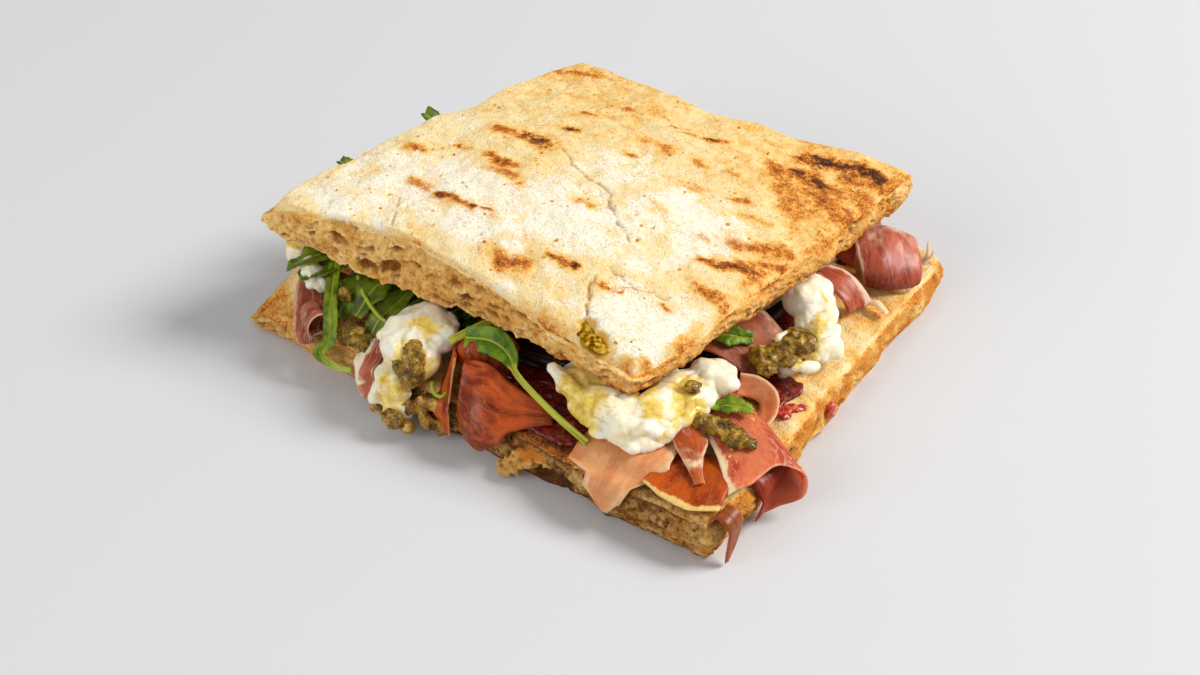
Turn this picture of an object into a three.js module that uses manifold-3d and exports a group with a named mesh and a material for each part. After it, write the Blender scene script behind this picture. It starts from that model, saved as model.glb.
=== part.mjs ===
// A focaccia sandwich: two squares of flat bread with soft cheese, cured ham, arugula, pesto and
// tomato between them. Millimetres, +Z up. The origin is the middle of the lower bread's flat base.
// The long front side faces -Y and the crusted side faces +X. The lower bread reaches further out
// than the upper one at the near corner (+X, -Y), where the filling spills over its edge.

import * as THREE from "three";
import { mergeVertices } from "three/addons/utils/BufferGeometryUtils.js";
import Module from "manifold-3d";

const wasm = await Module();
wasm.setup();

// Clearance between neighbouring pieces, and the thickness of the thin ones.
const GAP = 0.35;
const HAM_THICKNESS = 1.2;
const LEAF_THICKNESS = 0.9;
const TOMATO_DEPTH = 1.1;
const FLOOR_CLEARANCE = 0.4;
const CHEESE_DETAIL = 1;
const SKEW = 0.18;
const EDGE_MARGIN = 2.6;
const TOP_MARGIN = 0.8;

const COLOURS = {
  bread: 0xd9ab6b,
  tomato: 0xb5301a,
  cheese: 0xf4efdf,
  pesto: 0x6b6420,
  arugula: 0x4f7f2a,
  ham: 0xb8624a,
};
const ROUGHNESS = { bread: 0.85, tomato: 0.35, cheese: 0.35, pesto: 0.4, arugula: 0.5, ham: 0.4 };

// Lower bread: plan corners, thickness and the thin tip at its front left corner.
const LOWER = {
  frontLeft: [-100, -75],
  frontRight: [91, -79],
  backRight: [87, 85],
  backLeft: [-77, 74],
  rounding: 0.03,
  bows: { front: 0, right: -1, back: 0, left: 2 },
  lean: { at: 0, width: 1, depth: 0 },
  base: [
    [0, 0, 0],
    [0, 0, 0],
    [0, 0, 0],
  ],
  top: [
    [13, 13, 15],
    [13, 13.5, 13.5],
    [12.5, 13.5, 13],
  ],
  dimple: 0.5,
  wander: 1.6,
  seed: 3,
  sideShape: [-2, 0.8, -2],
  cells: [12, 10],
};
const TIP = { at: [-99, -75], reach: 30, thinnest: 0.3 };

// Upper bread: it lies on the filling, domed in the middle, and droops at the near corner.
const UPPER = {
  frontLeft: [-92, -70],
  frontRight: [51.5, -59],
  backRight: [75, 76],
  backLeft: [-60, 67],
  rounding: 0.04,
  bows: { front: -6, right: 1, back: -9, left: -1.5 },
  lean: { at: -0.35, width: 0.4, depth: 5 },
  base: [
    [36.5, 32.8, 31],
    [36, 36.5, 36.5],
    [36, 37, 37.5],
  ],
  top: [
    [50, 48.5, 40.5],
    [52, 56, 45],
    [50, 51.5, 47.5],
  ],
  dimple: 1.1,
  wander: 1.4,
  seed: 11,
  sideShape: [-0.8, 1, -1],
  cells: [13, 12],
};

// Pseudo-random number from 0 to 1 for a point of a whole-number grid.
function hash(x, y, z) {
  const mixed = Math.sin(x * 127.1 + y * 311.7 + z * 74.7) * 43758.5453;
  return mixed - Math.floor(mixed);
}

// Smooth noise from -1 to 1 that varies over distances of about 1.
function noise(x, y, z) {
  const cell = [x, y, z].map(Math.floor);
  const [fx, fy, fz] = [x, y, z].map((value, axis) => {
    const part = value - cell[axis];
    return part * part * (3 - 2 * part);
  });
  let sum = 0;
  for (const dx of [0, 1])
    for (const dy of [0, 1])
      for (const dz of [0, 1]) {
        const weight = (dx ? fx : 1 - fx) * (dy ? fy : 1 - fy) * (dz ? fz : 1 - fz);
        sum += weight * hash(cell[0] + dx, cell[1] + dy, cell[2] + dz);
      }
  return 2 * sum - 1;
}

const mix = (a, b, share) => a + (b - a) * share;
const clamp01 = (value) => Math.min(1, Math.max(0, value));
const smooth = (value) => clamp01(value) ** 2 * (3 - 2 * clamp01(value));

// The value at (u, v), both from -1 to 1, of the smooth surface through a 3 by 3 grid of values.
function quadratic(grid, u, v) {
  const weights = (p) => [(p * (p - 1)) / 2, 1 - p * p, (p * (p + 1)) / 2];
  const across = weights(u);
  return weights(v).reduce(
    (sum, weight, row) => sum + weight * across.reduce((s, w, col) => s + w * grid[row][col], 0),
    0,
  );
}

// A closed three.js geometry as a solid that can be joined and cut.
function solidOf(geometry) {
  const bare = geometry.clone();
  bare.deleteAttribute("normal");
  bare.deleteAttribute("uv");
  const merged = mergeVertices(bare, 1e-4);
  return new wasm.Manifold(
    new wasm.Mesh({
      numProp: 3,
      vertProperties: new Float32Array(merged.attributes.position.array),
      triVerts: new Uint32Array(merged.index.array),
    }),
  );
}

// A solid as a three.js geometry.
function geometryOf(solid) {
  const mesh = solid.getMesh();
  const corners = new Float32Array(mesh.numVert * 3);
  for (let i = 0; i < mesh.numVert; i++)
    corners.set(mesh.vertProperties.subarray(i * mesh.numProp, i * mesh.numProp + 3), i * 3);
  const geometry = new THREE.BufferGeometry();
  geometry.setAttribute("position", new THREE.BufferAttribute(corners, 3));
  geometry.setIndex(new THREE.BufferAttribute(new Uint32Array(mesh.triVerts), 1));
  geometry.computeVertexNormals();
  return geometry;
}

// Moves every vertex of a geometry to where place(x, y, z) says.
function warp(geometry, place) {
  const points = geometry.attributes.position;
  for (let i = 0; i < points.count; i++)
    points.setXYZ(i, ...place(points.getX(i), points.getY(i), points.getZ(i)));
  return geometry;
}

// Plan position of the bread's own coordinates u and v, both from -1 to 1, its corners rounded.
function breadPlan(bread, u, v) {
  const ru = u * (1 - bread.rounding * v ** 8);
  const rv = v * (1 - bread.rounding * u ** 8);
  const [a, b] = [(1 + ru) / 2, (1 + rv) / 2];
  const front = [0, 1].map((i) => mix(bread.frontLeft[i], bread.frontRight[i], a));
  const back = [0, 1].map((i) => mix(bread.backLeft[i], bread.backRight[i], a));
  const bow = (name, along, towards) =>
    bread.bows[name] * (1 - along * along) * ((1 + towards) / 2) ** 2;
  return [
    mix(front[0], back[0], b) + bow("right", v, u) - bow("left", v, -u),
    mix(front[1], back[1], b) + bow("back", u, v) - bow("front", u, -v),
  ];
}

// How much of its full thickness the lower bread keeps near its thin tip.
function tipShare(bread, x, y) {
  if (bread !== LOWER) return 1;
  const away = Math.hypot(x - TIP.at[0], y - TIP.at[1]) / TIP.reach;
  return mix(TIP.thinnest, 1, smooth(away));
}

// Lowest and highest point of a bread above the plan position of u and v.
function breadHeights(bread, u, v) {
  const [x, y] = breadPlan(bread, u, v);
  const dimple = bread.dimple * noise(x / 17, y / 17, bread.seed);
  const low = quadratic(bread.base, u, v);
  return [low, mix(low, quadratic(bread.top, u, v) + dimple, tipShare(bread, x, y))];
}

// How far the top of a bread's front edge stands back from its bottom.
function setBack({ lean }, u, v, rise) {
  if (v > -0.99) return 0;
  return lean.depth * rise * Math.exp(-(((u - lean.at) / lean.width) ** 2));
}

// A slab of bread, its sides slightly swollen, grown outwards by a margin.
function breadSolid(bread, grow) {
  const rows = bread.sideShape.length - 1;
  const box = new THREE.BoxGeometry(2, 2, 2, bread.cells[0], bread.cells[1], rows);
  const slab = warp(box, (u, v, w) => {
    const [x, y] = breadPlan(bread, u, v);
    const [low, high] = breadHeights(bread, u, v);
    const rise = (w + 1) / 2;
    const rim = Math.max(Math.abs(u), Math.abs(v)) ** 12;
    const wobble = bread.wander * noise(x / 9, y / 9, bread.seed + rise * 1.5);
    const out = grow + rim * (bread.sideShape[Math.round(rise * rows)] + wobble);
    const z = mix(low - grow, high + grow, rise);
    return [x + out * u ** 5, y + out * v ** 5 + setBack(bread, u, v, rise), z];
  });
  return solidOf(slab);
}

// Height of the lower bread's top at a plan position, found by inverting its outline's middle part.
function lowerTop(x, y) {
  const u = clamp01((x + 90) / 176) * 2 - 1;
  const v = clamp01((y + 74) / 152) * 2 - 1;
  return breadHeights(LOWER, u, v)[1];
}

// Rounded lumps, each [x, y, z, radius x, radius y, radius z], fused into one uneven solid.
function lumps(list, { rough = 0.12, detail = 2, seed = 1, floor = FLOOR_CLEARANCE } = {}) {
  return (grow) =>
    list
      .map(([cx, cy, cz, rx, ry, rz]) => {
        const ball = new THREE.IcosahedronGeometry(1, detail);
        const lump = warp(ball, (x, y, z) => {
          const swell = 1 + rough * noise(x * 1.7 + cx, y * 1.7 + cy, z * 1.7 + seed);
          return [
            cx + x * (rx * swell + grow),
            cy + y * (ry * swell + grow),
            Math.max(floor - grow, cz + z * (rz * swell + grow)),
          ];
        });
        return solidOf(lump);
      })
      .reduce((whole, lump) => whole.add(lump));
}

// How far a plan position lies inside the lower bread (negative outside), and its nearest side.
function insideLower(x, y) {
  const corners = [LOWER.frontLeft, LOWER.frontRight, LOWER.backRight, LOWER.backLeft];
  let nearest = { depth: Infinity };
  corners.forEach(([ax, ay], i) => {
    const [bx, by] = corners[(i + 1) % 4];
    const length = Math.hypot(bx - ax, by - ay);
    const [nx, ny] = [(by - ay) / length, (ax - bx) / length];
    const depth = (ax - x) * nx + (ay - y) * ny;
    if (depth < nearest.depth) nearest = { depth, nx, ny };
  });
  return nearest;
}

// Moves a point of a thin piece up or out until it is clear of the lower bread.
function clearOfLower(point, half) {
  const { depth, nx, ny } = insideLower(point.x, point.y);
  const out = depth + half + EDGE_MARGIN;
  const up = lowerTop(point.x, point.y) + half + TOP_MARGIN - point.z;
  if (out <= 0 || up <= 0) return point;
  if (up <= out) point.z += up;
  else point.set(point.x + nx * out, point.y + ny * out, point.z);
  return point;
}

// A thin solid over a grid: place(s, t) is its middle surface, s and t from 0 to 1. It is grown by
// a margin on both faces and at its edges.
function sheetSolid(place, [along, across], thickness, grow) {
  const grid = new THREE.PlaneGeometry(1, 1, along, across);
  const flat = grid.attributes.position;
  const triangles = Array.from(grid.index.array);
  const count = flat.count;
  const corners = new Float32Array(count * 6);
  const [tangent, crosswise] = [new THREE.Vector3(), new THREE.Vector3()];
  const nudge = (value, step) => clamp01(value + step);
  const edgeSign = (value) => (value > 0.999) - (value < 0.001);
  for (let i = 0; i < count; i++) {
    const [s, t] = [flat.getX(i) + 0.5, flat.getY(i) + 0.5];
    const middle = place(s, t);
    tangent.subVectors(place(nudge(s, 0.01), t), place(nudge(s, -0.01), t)).normalize();
    crosswise.subVectors(place(s, nudge(t, 0.01)), place(s, nudge(t, -0.01))).normalize();
    middle.addScaledVector(tangent, grow * edgeSign(s)).addScaledVector(crosswise, grow * edgeSign(t));
    const offset = tangent.cross(crosswise).setLength(thickness / 2 + grow);
    middle.clone().add(offset).toArray(corners, i * 3);
    middle.clone().sub(offset).toArray(corners, (count + i) * 3);
  }
  const index = [];
  const edges = new Map();
  for (let i = 0; i < triangles.length; i += 3) {
    const [a, b, c] = triangles.slice(i, i + 3);
    index.push(a, b, c, count + a, count + c, count + b);
    for (const [p, q] of [
      [a, b],
      [b, c],
      [c, a],
    ]) {
      if (edges.has(`${q},${p}`)) edges.delete(`${q},${p}`);
      else edges.set(`${p},${q}`, [p, q]);
    }
  }
  for (const [p, q] of edges.values()) index.push(p, count + p, q, q, count + p, count + q);
  const geometry = new THREE.BufferGeometry();
  geometry.setAttribute("position", new THREE.BufferAttribute(corners, 3));
  geometry.setIndex(index);
  return solidOf(geometry);
}

const curveThrough = (points) =>
  new THREE.CatmullRomCurve3(
    points.map((point) => (point.isVector3 ? point : new THREE.Vector3(...point))),
    false,
    "centripetal",
  );

// A slice of ham, lofted across curves that each run from the inside of the filling outwards.
function slice(rails, { ripple = 0.35, seed = 0, cells = [9, 6] } = {}) {
  const curves = rails.map(curveThrough);
  const place = (s, t) => {
    const point = curveThrough(curves.map((curve) => curve.getPoint(s))).getPoint(t);
    point.z += ripple * noise(point.x / 4, point.y / 4, seed);
    return clearOfLower(point, HAM_THICKNESS / 2);
  };
  return (grow) => sheetSolid(place, cells, HAM_THICKNESS, grow);
}

// How wide an arugula leaf is at s: a blade with lobes, narrowing to its stalk towards s = 1.
function leafWidth(s, { blade, stalk = 1.8, bladeShare = 0.6, lobes = 2, blunt = 0.12 }) {
  const q = clamp01(s / bladeShare);
  const outline = Math.sin(Math.PI * mix(blunt, 1, q)) ** 0.8;
  const notch = 1 - 0.3 * (0.5 - 0.5 * Math.cos(2 * Math.PI * lobes * q));
  return Math.max(stalk, blade * outline * notch);
}

// An arugula leaf, thin and cupped, along a curve, with its face turned to `facing`.
function leaf(shape, cells = [10, 2]) {
  const { path, facing = [0.4, -0.6, 0.7], cup = 0.5, wave = 0.5, seed = 0 } = shape;
  const spine = curveThrough(path);
  const face = new THREE.Vector3(...facing).normalize();
  const place = (s, t) => {
    const side = spine.getTangent(s).cross(face).normalize();
    const width = leafWidth(s, shape) * (t - 0.5);
    const point = spine.getPoint(s).addScaledVector(side, width);
    const bend = cup * Math.abs(width) * 0.5 + wave * noise(s * 5, t * 2, seed);
    return clearOfLower(point.addScaledVector(face, bend), LEAF_THICKNESS / 2);
  };
  return (grow) => sheetSolid(place, cells, LEAF_THICKNESS, grow);
}

// A flat layer between two height functions inside an outline given by its half sizes. Its sides
// lean in plan like those of the upper bread, by SKEW.
function layer(centre, half, low, high, cells, seed) {
  const [along, across] = cells;
  return (grow) => {
    const box = new THREE.BoxGeometry(2, 2, 2, along, across, 1);
    const slab = warp(box, (u, v, w) => {
      const ru = u * Math.sqrt(1 - (0.3 * v * v) / 2);
      const rv = v * Math.sqrt(1 - (0.3 * u * u) / 2);
      const ragged = 1 + 0.06 * noise(u * 4, v * 4, seed);
      const y = centre[1] + half[1] * rv * ragged + grow * v;
      const x = centre[0] + half[0] * ru * ragged + grow * u + SKEW * y;
      return [x, y, w < 0 ? low(x, y) - grow : high(x, y) + grow];
    });
    return solidOf(slab);
  };
}

// The torn flap of crumb that juts out of the lower bread's front side.
const FLAP = [
  [20, -79, 4.2, 8, 6.5, 4.4],
  [29, -74, 6, 9, 5, 5],
];

// The lower bread with its flap.
function lowerBread(grow) {
  return breadSolid(LOWER, grow).add(lumps(FLAP, { rough: 0.3, detail: 1 })(grow));
}

const CHEESE = {
  cheese_near: [
    [42, -59, 22.5, 15, 10, 8],
    [54, -55, 21.5, 10, 12, 8],
    [57, -43, 23.5, 10, 13, 6],
    [61.5, -30, 25, 7.5, 8, 4.3],
    [30, -56, 24.5, 9, 7, 5],
  ],
  cheese_front: [
    [-25, -64, 25.5, 11, 9, 6],
    [-25, -73, 21, 10, 7.5, 7.5],
    [-25, -81, 14, 6.5, 4.5, 6.5],
    [-24, -83, 7, 6, 4.5, 5],
  ],
  cheese_right: [
    [64, 20, 26, 8, 9, 6],
    [72, 13, 22.5, 7, 8, 6],
    [77, 3, 19, 5, 7, 4.5],
    [72, -6, 19.5, 6, 5, 3.5],
  ],
  cheese_left_corner: [[-85, -58, 28, 5.5, 5, 4.5]],
  cheese_left_low: [[-74, -63, 25.5, 4.5, 3.5, 4.5]],
  cheese_back: [
    [14, 58, 26, 12, 10, 6.5],
    [25, 67, 20.5, 9, 7, 6],
  ],
  cheese_back_corner: [[-45, 62, 28, 8, 7, 5.5]],
  cheese_left_side: [
    [-66, 20, 27, 8, 11, 6],
    [-74, 27, 20.5, 6, 8, 6],
  ],
};

// Height of the slices that a lump of cheese lies flat on.
const CHEESE_FLOOR = { cheese_near: 20.4 };

const PESTO = {
  pesto_front: [
    [-20.5, -76.5, 24, 5, 4.5, 5],
    [-19.5, -79, 19, 4.5, 4, 4],
  ],
  pesto_front_low: [[-20, -88, 7.5, 5, 3, 4]],
  pesto_left: [[-47, -73, 17.5, 6, 4.5, 4]],
  pesto_near: [
    [70, -48, 23.6, 6, 4.2, 3],
    [79, -48, 23, 5.5, 4.2, 3],
  ],
  pesto_near_dot: [[61, -43, 30, 3, 3, 2.4]],
  pesto_leaf: [[-56, -67.5, 27, 3.4, 2.4, 3.4]],
  pesto_right: [
    [74, 0, 24.5, 5.5, 5.5, 3.2],
    [70, -7, 23.6, 4.5, 4.5, 3],
    [67, -12, 22.8, 6, 5, 3.4],
  ],
};

// Curves across each slice of ham, side by side; neighbours in a list are joined into one sheet.
const HAM = {
  ham_near_gold: slice(
    [
      [[62, -56, 17.2], [66, -66, 17.2], [68, -73, 17]],
      [[69, -55, 17.2], [72, -66, 17.2], [73, -77, 16.8]],
      [[76, -52, 17.2], [79, -64, 17.2], [81, -76, 16.8]],
      [[81, -48, 17.2], [85, -58, 17.2], [87, -70, 16.8]],
    ],
    { seed: 1, ripple: 0.1, cells: [5, 5] },
  ),
  ham_near_red: slice(
    [
      [[61, -46, 20.2], [76, -54, 19.7], [87, -65, 16.5]],
      [[62, -41, 20.8], [76, -48, 21], [91, -58, 17.5]],
      [[63, -34, 20.8], [79, -39, 21], [94, -47, 18.5]],
      [[66, -29, 20.6], [82, -34, 19], [101, -42, 14.5]],
      [[66, -28, 18.6], [83, -35, 17], [102, -44, 8.5]],
      [[65, -32, 17.6], [80, -41, 16.8], [96, -51, 5.5]],
      [[64, -38, 17.6], [80, -47, 16.8], [91, -59, 5]],
    ],
    { seed: 2, cells: [8, 14] },
  ),
  ham_near_pale: slice(
    [
      [[38, -62, 18.5], [39, -70, 17.5], [39, -77, 15.5]],
      [[45, -58, 19], [47, -70, 18.5], [48, -79, 12]],
      [[53, -56, 19], [55, -70, 18.5], [56, -80, 6]],
      [[60, -54, 19.4], [60, -67, 19.3], [60.5, -79, 11]],
      [[66, -52, 19.6], [67, -60, 19.4], [69, -66, 19.1]],
    ],
    { seed: 3, cells: [7, 8] },
  ),
  ham_near_strip: slice(
    [
      [[64, -54, 21.6], [70, -61, 20.6], [78, -66, 18.8]],
      [[70, -52, 21.8], [73, -59, 20.8], [79.5, -66, 18.9]],
    ],
    { seed: 4, cells: [4, 1] },
  ),
  ham_near_hanging: slice(
    [
      [[89, -74, 15], [93.4, -74.5, 11], [93.4, -75, 6], [92.2, -75, 1.1]],
      [[89, -66, 15], [93.4, -67, 10], [93.4, -70, 5], [92.2, -73.4, 1.1]],
    ],
    { seed: 5, ripple: 0, cells: [6, 2] },
  ),
  ham_right_inner: slice(
    [
      [[44, -24, 24], [52, -20, 23], [60, -19, 21], [66, -20, 19.5]],
      [[46, -12, 24.5], [54, -11, 23.5], [62, -11, 21], [68, -13, 18.5]],
      [[48, -2, 25.5], [56, -2, 24], [63, -3, 21], [70, -5, 18]],
      [[50, 6, 26], [57, 7, 24], [64, 6, 20], [70, 4, 17]],
    ],
    { seed: 6, cells: [6, 6] },
  ),
  ham_right_curl: slice(
    [
      [[67, -28, 17.8], [69, -26, 17.5], [73, -25, 16.8], [75.5, -29, 16.4], [75, -35, 16.2]],
      [[66, -24, 20.5], [71, -21.5, 20], [76.5, -23, 19], [79.5, -28, 17.4], [79, -35, 16.2]],
      [[65, -22, 23], [71, -19, 22.5], [78, -20.5, 21.5], [82, -27, 18.8], [82, -34, 17]],
    ],
    { seed: 7, ripple: 0.1, cells: [8, 3] },
  ),
  ham_right_red: slice(
    [
      [[60, 31, 25], [66, 30, 24.5], [72, 29, 22], [76, 28, 17]],
      [[61, 35, 25.5], [67, 35, 25], [74, 35, 21.5], [79, 35, 16]],
      [[62, 39, 25], [68, 40, 24.5], [76, 41, 20.5], [83, 43, 15.5]],
    ],
    { seed: 8, cells: [6, 4] },
  ),
  ham_right_roll: slice(
    [
      [[55, 60, 18], [57, 60, 25], [61, 55, 27.5], [66, 48, 26], [69, 46, 21], [69, 47, 16.5]],
      [[65, 70, 17], [65, 69, 25], [70, 63, 28.3], [75, 56, 25.5], [78, 51, 20], [77, 50, 15.8]],
      [[76, 74, 16], [77, 73, 21], [79, 69, 24.5], [83, 64, 22], [86, 59, 17], [84, 57, 15]],
    ],
    { seed: 9, cells: [12, 6] },
  ),
  ham_front_roll: slice(
    [
      [[-5, -70, 27], [3, -67, 26], [11, -68, 22.5], [17, -67, 20.5], [26, -65, 17]],
      [[-4, -74, 21], [4, -74, 20], [12, -75, 18.5], [19, -71, 17.5], [27, -66, 16.5]],
      [[-2, -79, 13], [6, -80, 12.5], [14, -79, 12.5], [20, -73, 16], [28, -67, 16]],
      [[1, -81, 6], [8, -82, 5], [15, -80, 9], [21, -74, 15], [28, -68, 15.5]],
    ],
    { seed: 10, cells: [8, 7] },
  ),
  ham_front_upright: slice(
    [
      [[-7.5, -71.5, 27], [-6.5, -76, 20], [-5, -80, 12.5], [-2.5, -82.5, 5.5]],
      [[-11.5, -66, 26], [-11, -70, 20], [-10, -77, 14], [-8, -80, 7]],
      [[-13, -58, 25], [-14, -62, 21], [-14, -66, 18], [-14, -71, 16]],
    ],
    { seed: 12, cells: [6, 5] },
  ),
  ham_front_hump: slice(
    [
      [[-8, -55, 27], [-7, -62, 30.2], [-6, -67, 28.8], [-5, -67, 25]],
      [[-1, -52, 28], [0, -59, 30.8], [2, -64, 28.5], [3, -64, 24]],
      [[5, -51, 27], [6, -57, 29], [8, -62, 26.5], [9, -63, 23]],
    ],
    { seed: 13, cells: [6, 4] },
  ),
  ham_front_small: slice(
    [
      [[-45, -64, 17], [-45, -74, 16], [-43, -80, 10], [-40, -81, 5.5]],
      [[-40, -63, 18.5], [-40, -73, 17.5], [-38, -82, 11.5], [-36, -84, 4.5]],
      [[-35, -63, 17.5], [-36, -71, 16.5], [-34.5, -79, 11], [-33, -82, 6]],
    ],
    { seed: 14, cells: [6, 4] },
  ),
  ham_left_corner: slice(
    [
      [[-81, -58, 23], [-79, -67, 20.5], [-75, -73, 17], [-70, -78, 12], [-68, -80, 7.5]],
      [[-73, -55, 22], [-71, -64, 20], [-68, -70, 17.5], [-64, -77, 13.5], [-62, -80, 8.5]],
      [[-65, -53, 20], [-64, -62, 19], [-62, -69, 17.5], [-60, -76, 14.5], [-58, -79, 10]],
    ],
    { seed: 15, cells: [8, 5] },
  ),
  ham_back_fold: slice(
    [
      [[-33, 61, 22], [-34, 66, 24], [-35, 73, 21], [-35, 75, 17.5], [-33, 68, 16]],
      [[-18, 61, 23], [-18, 67, 26], [-18, 77, 22], [-18, 79, 17.5], [-18, 68, 16]],
      [[-4, 61, 22], [-4, 66, 24], [-3, 73, 21], [-3, 75, 17.5], [-5, 68, 16]],
    ],
    { seed: 17, ripple: 0.9, cells: [9, 4] },
  ),
  ham_back_drape: slice(
    [
      [[36, 60, 21], [35, 72, 19], [34, 81, 15], [34, 84, 7]],
      [[46, 60, 23], [46, 73, 20], [46, 84, 15], [45, 87, 6]],
      [[56, 62, 21], [57, 73, 19], [58, 83, 15], [57, 86, 9]],
    ],
    { seed: 18, ripple: 0.8, cells: [7, 4] },
  ),
  ham_back_corner: slice(
    [
      [[-67, 38, 24], [-72, 40, 21], [-78, 42, 15.5]],
      [[-62, 53, 25], [-68, 57, 22], [-75, 62, 14.5]],
      [[-52, 63, 24], [-56, 68, 20.5], [-60, 74, 14.5]],
    ],
    { seed: 20, ripple: 0.9, cells: [5, 5] },
  ),
  ham_left_side: slice(
    [
      [[-81, -40, 23], [-86, -39, 20], [-91, -38, 14], [-93, -37, 8]],
      [[-79, -26, 24], [-86, -25, 21], [-92, -24, 14], [-94, -23, 6]],
      [[-77, -12, 23], [-84, -11, 19], [-89, -10, 14], [-91, -9, 8]],
    ],
    { seed: 19, ripple: 0.9, cells: [6, 5] },
  ),
};

const LEAVES = {
  arugula_leaf_front: leaf(
    {
      path: [
        [-11, -66, 28],
        [-3, -62, 30],
        [5, -60, 29.5],
        [12, -62, 26.5],
        [27, -67, 20.5],
        [42, -71, 19],
      ],
      blade: 13,
      bladeShare: 0.55,
      lobes: 1,
      cup: 0.2,
      seed: 1,
    },
    [12, 2],
  ),
  arugula_leaf_near: leaf({
    path: [[78, -36, 23.6], [73, -37, 24], [67, -40, 23.6], [59, -42, 23.4]],
    facing: [0.1, -0.1, 1],
    blade: 8,
    bladeShare: 0.9,
    seed: 2,
  }),
  arugula_leaf_right: leaf({
    path: [[60.5, -7, 24.2], [56, -11, 25.8], [51, -15, 26.8], [44, -19, 27]],
    facing: [0.5, -0.3, 0.8],
    blade: 8,
    bladeShare: 0.9,
    seed: 3,
  }),
  arugula_stalk: leaf(
    {
      path: [[-13, -67, 28.2], [-9, -60, 30.2], [-6, -52, 30.5]],
      blade: 2.6,
      stalk: 2.6,
      cup: 0,
      wave: 0,
    },
    [4, 1],
  ),
  arugula_hanging: leaf(
    {
      path: [
        [-69, -58, 30],
        [-66, -64, 26],
        [-63, -71, 19],
        [-62, -78.5, 11],
        [-64, -80, 5],
        [-58, -80, 2.5],
        [-51, -79, 2.5],
      ],
      facing: [0.3, -0.9, 0.3],
      blade: 7,
      bladeShare: 0.98,
      blunt: 0.25,
      lobes: 0,
      seed: 6,
    },
    [9, 2],
  ),
};

// Leaves that show at the edges of the salad, each fused to its core: tip, middle and inner end.
const SALAD_LEAVES = [
  [[-83, -66, 26], [-76, -61, 29.5], [-60, -40, 30]],
  [[-76, -68, 25], [-71, -62, 28.5], [-56, -38, 29.5]],
  [[-57, -71, 19], [-56, -64, 26], [-50, -38, 29.5]],
  [[-50, -70, 23], [-49, -62, 28.5], [-46, -38, 30]],
  [[-43, -71, 19], [-42, -65, 24], [-40, -38, 29]],
  [[-88, 2, 26], [-80, 2, 29.5], [-60, 2, 30]],
  [[-98.5, -22, 38], [-90, -19.5, 31.8], [-78, -17, 30.5], [-60, -16, 31]],
  [[-94, 18, 38.5], [-85, 19.5, 32], [-74, 20.5, 30.8], [-54, 22, 31]],
  [[-32, 76, 27], [-31, 66, 31], [-28, 44, 32]],
  [[0, 76, 27], [-2, 66, 31.5], [-8, 44, 32]],
];
const SALAD_CELLS = [3, 2];

const upperBase = (x, y) => {
  const u = clamp01((x - SKEW * y + 76) / 138) * 2 - 1;
  const v = clamp01((y + 62) / 130) * 2 - 1;
  return quadratic(UPPER.base, u, v);
};

// Height of the ham bed's top.
const bedTop = (x, y) => 21 + 1.5 * noise(x / 14, y / 14, 4);

// The salad: a core under the upper bread's left half with the leaves that show fused on.
function salad(grow) {
  const core = layer(
    [-36, 6],
    [35, 50],
    (x, y) => bedTop(x, y) + GAP + 0.2,
    (x, y) => upperBase(x, y) - 1.2,
    [3, 4],
    5,
  )(grow);
  return SALAD_LEAVES.map((path, i) =>
    leaf({ path, blade: 13, bladeShare: 1, facing: [0.1, 0, 1], wave: 1, seed: i }, SALAD_CELLS),
  )
    .map((make) => make(grow))
    .reduce((whole, part) => whole.add(part), core);
}

// The thin tomato layer on the lower bread, with the patches where it reaches the bread's edge.
const TOMATO_PATCHES = [
  { centre: [-3, 0], half: [64, 56], cells: [5, 5] },
  { centre: [31, -60], half: [21, 13], cells: [3, 2] },
  { centre: [70, -15], half: [13, 8], cells: [2, 2] },
];
function tomato(grow) {
  return TOMATO_PATCHES.map(({ centre, half, cells }, i) =>
    layer(
      centre,
      half,
      (x, y) => lowerTop(x, y) + 0.6,
      (x, y) => lowerTop(x, y) + 0.6 + TOMATO_DEPTH,
      cells,
      i,
    )(grow),
  ).reduce((whole, patch) => whole.add(patch));
}

// The bed of ham and the middle of the cheese, which run through under the upper bread.
const bed = layer(
  [-6, 2],
  [60, 52],
  (x, y) => lowerTop(x, y) + TOMATO_DEPTH + 1.1,
  bedTop,
  [6, 5],
  6,
);
const heart = layer(
  [27.5, 3],
  [25, 47],
  (x, y) => bedTop(x, y) + GAP + 0.2,
  (x, y) => upperBase(x, y) - 1.2,
  [4, 5],
  8,
);

// Every piece in the order of its claim on the space: a piece is cut back from those before it.
const PIECES = [
  ["bread_lower", "bread", lowerBread],
  ["bread_upper", "bread", (grow) => breadSolid(UPPER, grow)],
  ...Object.entries(HAM).map(([name, make]) => [name, "ham", make]),
  ...Object.entries(LEAVES).map(([name, make]) => [name, "arugula", make]),
  ...Object.entries(PESTO).map(([name, list], i) => [
    name,
    "pesto",
    lumps(list, { rough: 0.3, detail: 1, seed: 20 + i }),
  ]),
  ...Object.entries(CHEESE).map(([name, list], i) => [
    name,
    "cheese",
    lumps(list, { detail: CHEESE_DETAIL, seed: i, floor: CHEESE_FLOOR[name] }),
  ]),
  ["arugula_salad", "arugula", salad],
  ["tomato_spread", "tomato", tomato],
  ["ham_bed", "ham", bed],
  ["cheese_heart", "cheese", heart],
];

// The largest of a solid's separate bodies.
function largestBody(solid) {
  return solid.decompose().reduce((best, body) => (body.volume() > best.volume() ? body : best));
}

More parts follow.
